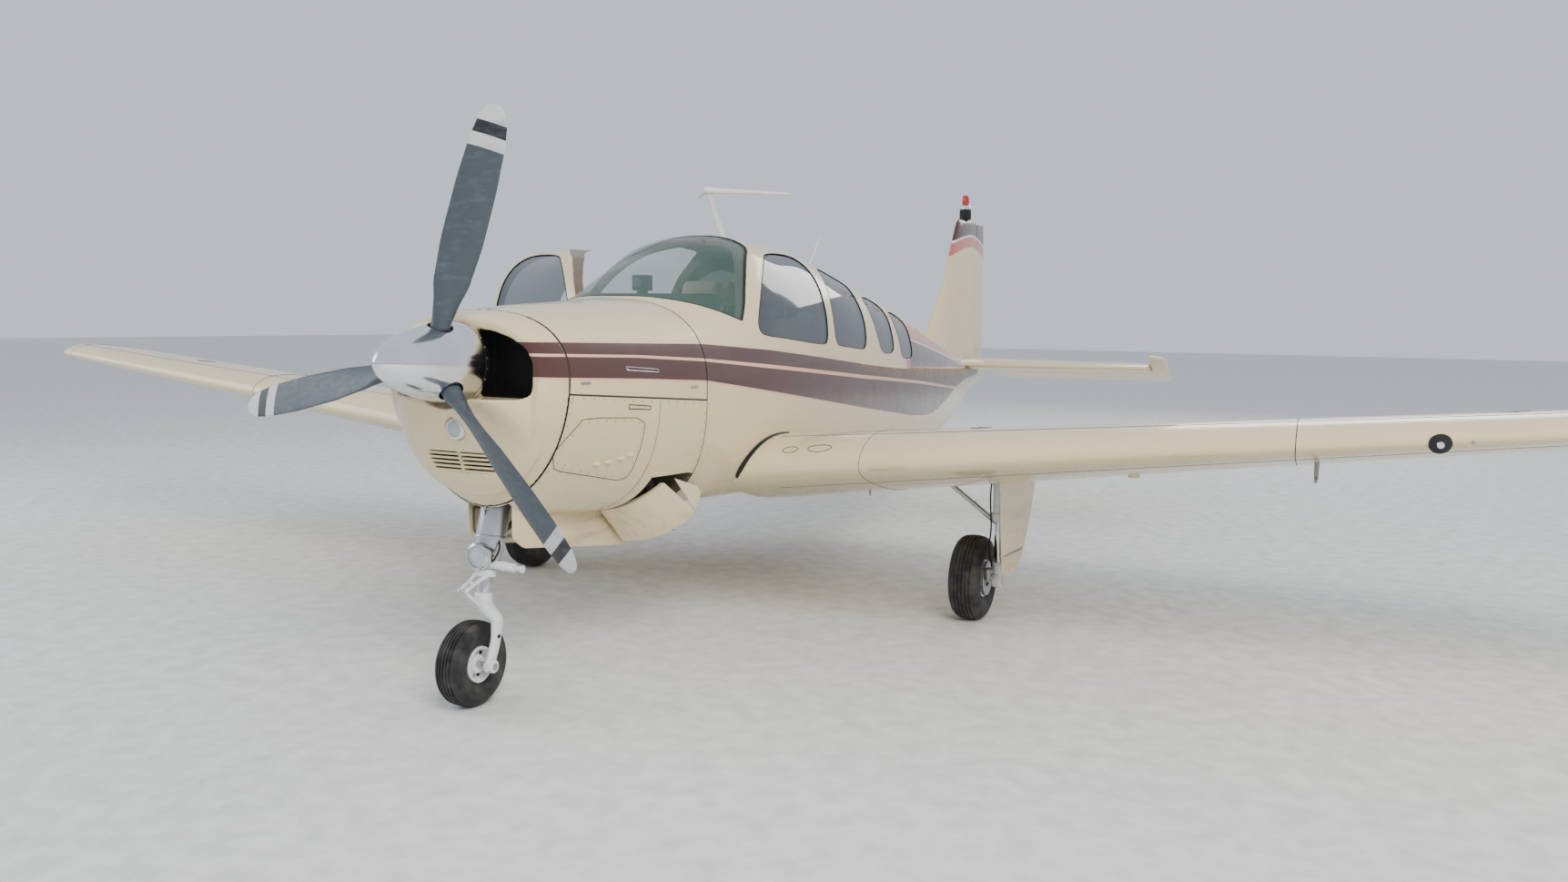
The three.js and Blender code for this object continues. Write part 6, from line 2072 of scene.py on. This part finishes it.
def add_antennas():
    def roof(y):
        return skin_z(y, 0)

    top = (0, 2245, 2323)
    foot_z = roof(2452)
    rings = []
    for t in np.linspace(0, 1, 9):
        y = 2452 + t * (2245 - 2452)
        z = foot_z - 4 + t * (2323 - foot_z + 4)
        long, wide = 36 - 12 * t, 15 - 5 * t
        rings.append([(wide * math.cos(a), y + long * math.sin(a), z) for a in circle(24)])
    arms = [tube([top, (sign * 20, 2268, 2324), (sign * 308, 2700, 2338)], [19, 17, 8], 12)
            for sign in (1, -1)]
    joint = tube([(0, 2214, 2320), (0, 2222, 2321), (0, 2245, 2323), (0, 2285, 2325)], [6, 17, 24, 20], 20)
    foot = lathe([(0, 0), (62, 0), (62, 2), (40, 7), (30, 14), (0, 16)], axis="Z",
                 centre=(0, 2452, foot_z - 2))
    foot.data.transform(stretched((0, 2452), (0.75, 1.2)))
    dress(weld(loft(rings), *arms, joint, foot), "nav_antenna_skin", "airframe", "white", white_enamel,
          smooth=50, stands_for=("nav_antenna",))
    blade = []
    for t in np.linspace(0, 1, 9):
        y = 3610 + t * (3836 - 3610)
        z = roof(3610) - 4 + t * (2176 - roof(3610) + 4)
        long, wide = 30 - 25 * t, 7 - 4 * t
        blade.append([(wide * math.cos(a), y + long * math.sin(a), z) for a in circle(16)])
    plate = lathe([(0, 0), (34, 0), (34, 3), (22, 8), (12, 12), (0, 13)], axis="Z",
                  centre=(0, 3612, roof(3612) - 3))
    dress(weld(loft(blade), plate), "whip_antenna_skin", "airframe", "white", white_enamel, smooth=50,
          stands_for=("whip_antenna",))
    vent = lathe([(0, 0), (30, 0), (30, 10), (24, 22), (10, 28), (0, 29)], axis="Z",
                 centre=(0, 4640, roof(4640) - 4))
    dress(vent, "roof_air_scoop", "airframe", "trim", black_trim, smooth=50)


add_antennas()


# %% Wing details
def wing_spot(x, along, side, lift=0.0):
    """A place on the wing's upper or lower surface, and the way the surface faces there."""
    section = wing_section(x)
    spot = foil_point(section, along, side)
    ahead = foil_point(section, max(0.0, along - 0.004), side)
    behind = foil_point(section, min(1.0, along + 0.004), side)
    chordwise = Vector(behind - ahead)
    spanwise = Vector(foil_point(wing_section(x + 20), along, side) - spot)
    way = chordwise.cross(spanwise).normalized()
    if way.z * side < 0 and along > 0.02:
        way = -way
    return Vector(spot) + way * lift, way


def chord_line(x, radius=1.4):
    """A seam round the wing at one span, from the lower surface over the nose to the upper."""
    marks = [a for a in FOIL_PLACES if a <= FLAP[2]]
    path = [wing_spot(x, a, -1)[0] for a in marks[::-1]] + [wing_spot(x, a, 1)[0] for a in marks[1:]]
    return tube(path, radius, 6)


def oval(x, along, half_span, half_chord):
    """The outline of a small cover on the leading edge."""
    edge = [wing_spot(x + half_span * math.cos(a), along + half_chord * math.sin(a), 1, 0.4)[0]
            for a in circle(32)]
    return tube(edge, 1.6, 6, True)


def span_line(along, x0, x1, side, radius=1.2):
    return tube([wing_spot(x, along, side)[0] for x in np.linspace(x0, x1, 24)], radius, 6)


def wing_rivets():
    spots = []
    for side in (1, -1):
        for along in (0.14, 0.33, 0.52, 0.7):
            for x in np.arange(680, 4980, 46):
                spots.append(wing_spot(x, along, side))
        for x in np.arange(760, 4900, 410):
            for along in np.arange(0.05, 0.72, 0.026):
                spots.append(wing_spot(x, along, side))
    return domes(spots, 2.6, 0.7, 5)


def root_seal():
    """The dark rubber strip where the wing's nose meets the hull, thickest at its front."""
    path, radii = [], []
    for step in np.linspace(-1, 1, 25):
        spot = wing_spot(600, 0.2 * step * step, 1 if step > 0 else -1)[0]
        path.append((skin_x(spot.y, spot.z) + 2, spot.y, spot.z))
        radii.append(4 + 14 * (1 - abs(step)))
    return tube(path, radii, 12)


def add_wing_details():
    seams = [chord_line(3070, radius=2.0), chord_line(1130), chord_line(4985),
             span_line(0.105, 620, 4980, 1), span_line(0.105, 620, 4980, -1),
             span_line(0.40, 1130, 3070, 1, 1.0)]
    caps, cap_rims = [], []
    for x, along in ((1620, 0.2), (3900, 0.22)):
        spot, way = wing_spot(x, along, 1)
        caps.append(rod(spot - way * 3, spot + way * 2.2, 46, sides=40, edge=1))
        caps.append(rod(spot + way * 1, spot + way * 4.5, 9, sides=20, edge=1.5))
        cap_rims.append(rod(spot - way * 2, spot + way * 1.2, 54, sides=40, edge=0.6))
    strips = []
    for x in (1180, 2580):
        edge = [wing_spot(x + d, 0.003, -1, 5)[0] for d in np.linspace(0, 190, 8)]
        strips.append(tube(edge, [1.5, 6, 6, 6, 6, 6, 6, 1.5], 3))
    pitot = weld(rod((3155, 2126, 1075), (3155, 2104, 948), 12, 9, 24, 2),
                 tube([(3155, 2110, 948), (3155, 1995, 948)], [8.5, 7], 20))
    vane = block((3720, 1968, 1122), (3732, 1992, 1134), edge=3)
    vane_spot, vane_way = wing_spot(3726, 0.004, -1)
    vane.data.transform(Matrix.Translation((vane_spot + vane_way * 4 - Vector((3726, 1980, 1128))) / 1000))
    tank_drain = weld(*[rod(wing_spot(x, along, -1)[0], wing_spot(x, along, -1, 22)[0], 6, 4, 14, 1)
                        for x, along in ((980, 0.3), (1960, 0.62))])
    lamp_spot = wing_spot(3610, 0.004, -1)
    lamp_base, lamp_lens = domes([lamp_spot], 44, 12, 24), domes([lamp_spot], 21, 19, 20)
    port_only = ("pitot_tube", "stall_warner", "leading_edge_light", "leading_edge_light_lens")
    parts = [(weld(*seams), "wing_seams", "trim", seal_rubber),
             (weld(*caps), "filler_caps", "metal", housing),
             (weld(*cap_rims), "filler_rims", "trim", seal_rubber),
             (weld(*strips), "stall_strips", "paint", cream),
             (weld(oval(900, 0.03, 62, 0.011), oval(745, 0.028, 40, 0.009)), "leading_edge_covers", "trim",
              seal_rubber),
             (pitot, "pitot_tube", "steel", bare_metal), (vane, "stall_warner", "steel", housing),
             (tank_drain, "tank_drains", "steel", bare_metal),
             (wing_rivets(), "wing_rivets", "paint", cream),
             (root_seal(), "wing_root_seal", "trim", seal_rubber),
             (lamp_base, "leading_edge_light", "trim", black_trim),
             (lamp_lens, "leading_edge_light_lens", "steel", chrome)]
    for piece, name, slot, finish in parts:
        if name in port_only:
            dress(piece, f"left_{name}", "airframe", slot, finish)
        else:
            dress_pair(piece, "{side}_" + name, "airframe", slot, finish)


add_wing_details()

# %% [markdown]
# ## Floor and light
# A pale studio: a wide flat floor, a soft key from the front left where the sun stood, a weaker fill,
# a light from behind, and a pale world that the polished parts can mirror.

# %% Floor and lights
def add_stage():
    let_go()
    bpy.ops.mesh.primitive_plane_add(size=120, location=(0, 0, 0))
    floor = bpy.context.object
    floor.name = "floor"
    stone = coated("pale floor", srgb(222, 222, 220), 0.75, 6, 0.05)
    floor.data.materials.append(stone)
    world = bpy.data.worlds.new("studio")
    world.use_nodes = True
    shade = world.node_tree.nodes["Background"]
    shade.inputs["Color"].default_value = (0.80, 0.86, 0.95, 1)
    shade.inputs["Strength"].default_value = 0.9
    bpy.context.scene.world = world
    lights = [("key", (7.5, -9.5, 8.5), 6.0, 1500, (1.0, 0.96, 0.90)),
              ("fill", (-9.0, -6.0, 5.0), 6.0, 350, (0.9, 0.95, 1.0)),
              ("back", (3.0, 12.0, 8.0), 6.0, 500, (1.0, 0.98, 0.95))]
    for name, spot, size, power, color in lights:
        data = bpy.data.lights.new(name, "AREA")
        data.size = size
        data.energy = power
        data.color = color
        lamp = bpy.data.objects.new(name, data)
        lamp.location = spot
        lamp.visible_glossy = name != "key"
        aim = Vector((0, -1.5, 1.2)) - Vector(spot)
        lamp.rotation_euler = aim.to_track_quat("-Z", "Y").to_euler()
        bpy.context.scene.collection.objects.link(lamp)
    print("stage ready")


add_stage()
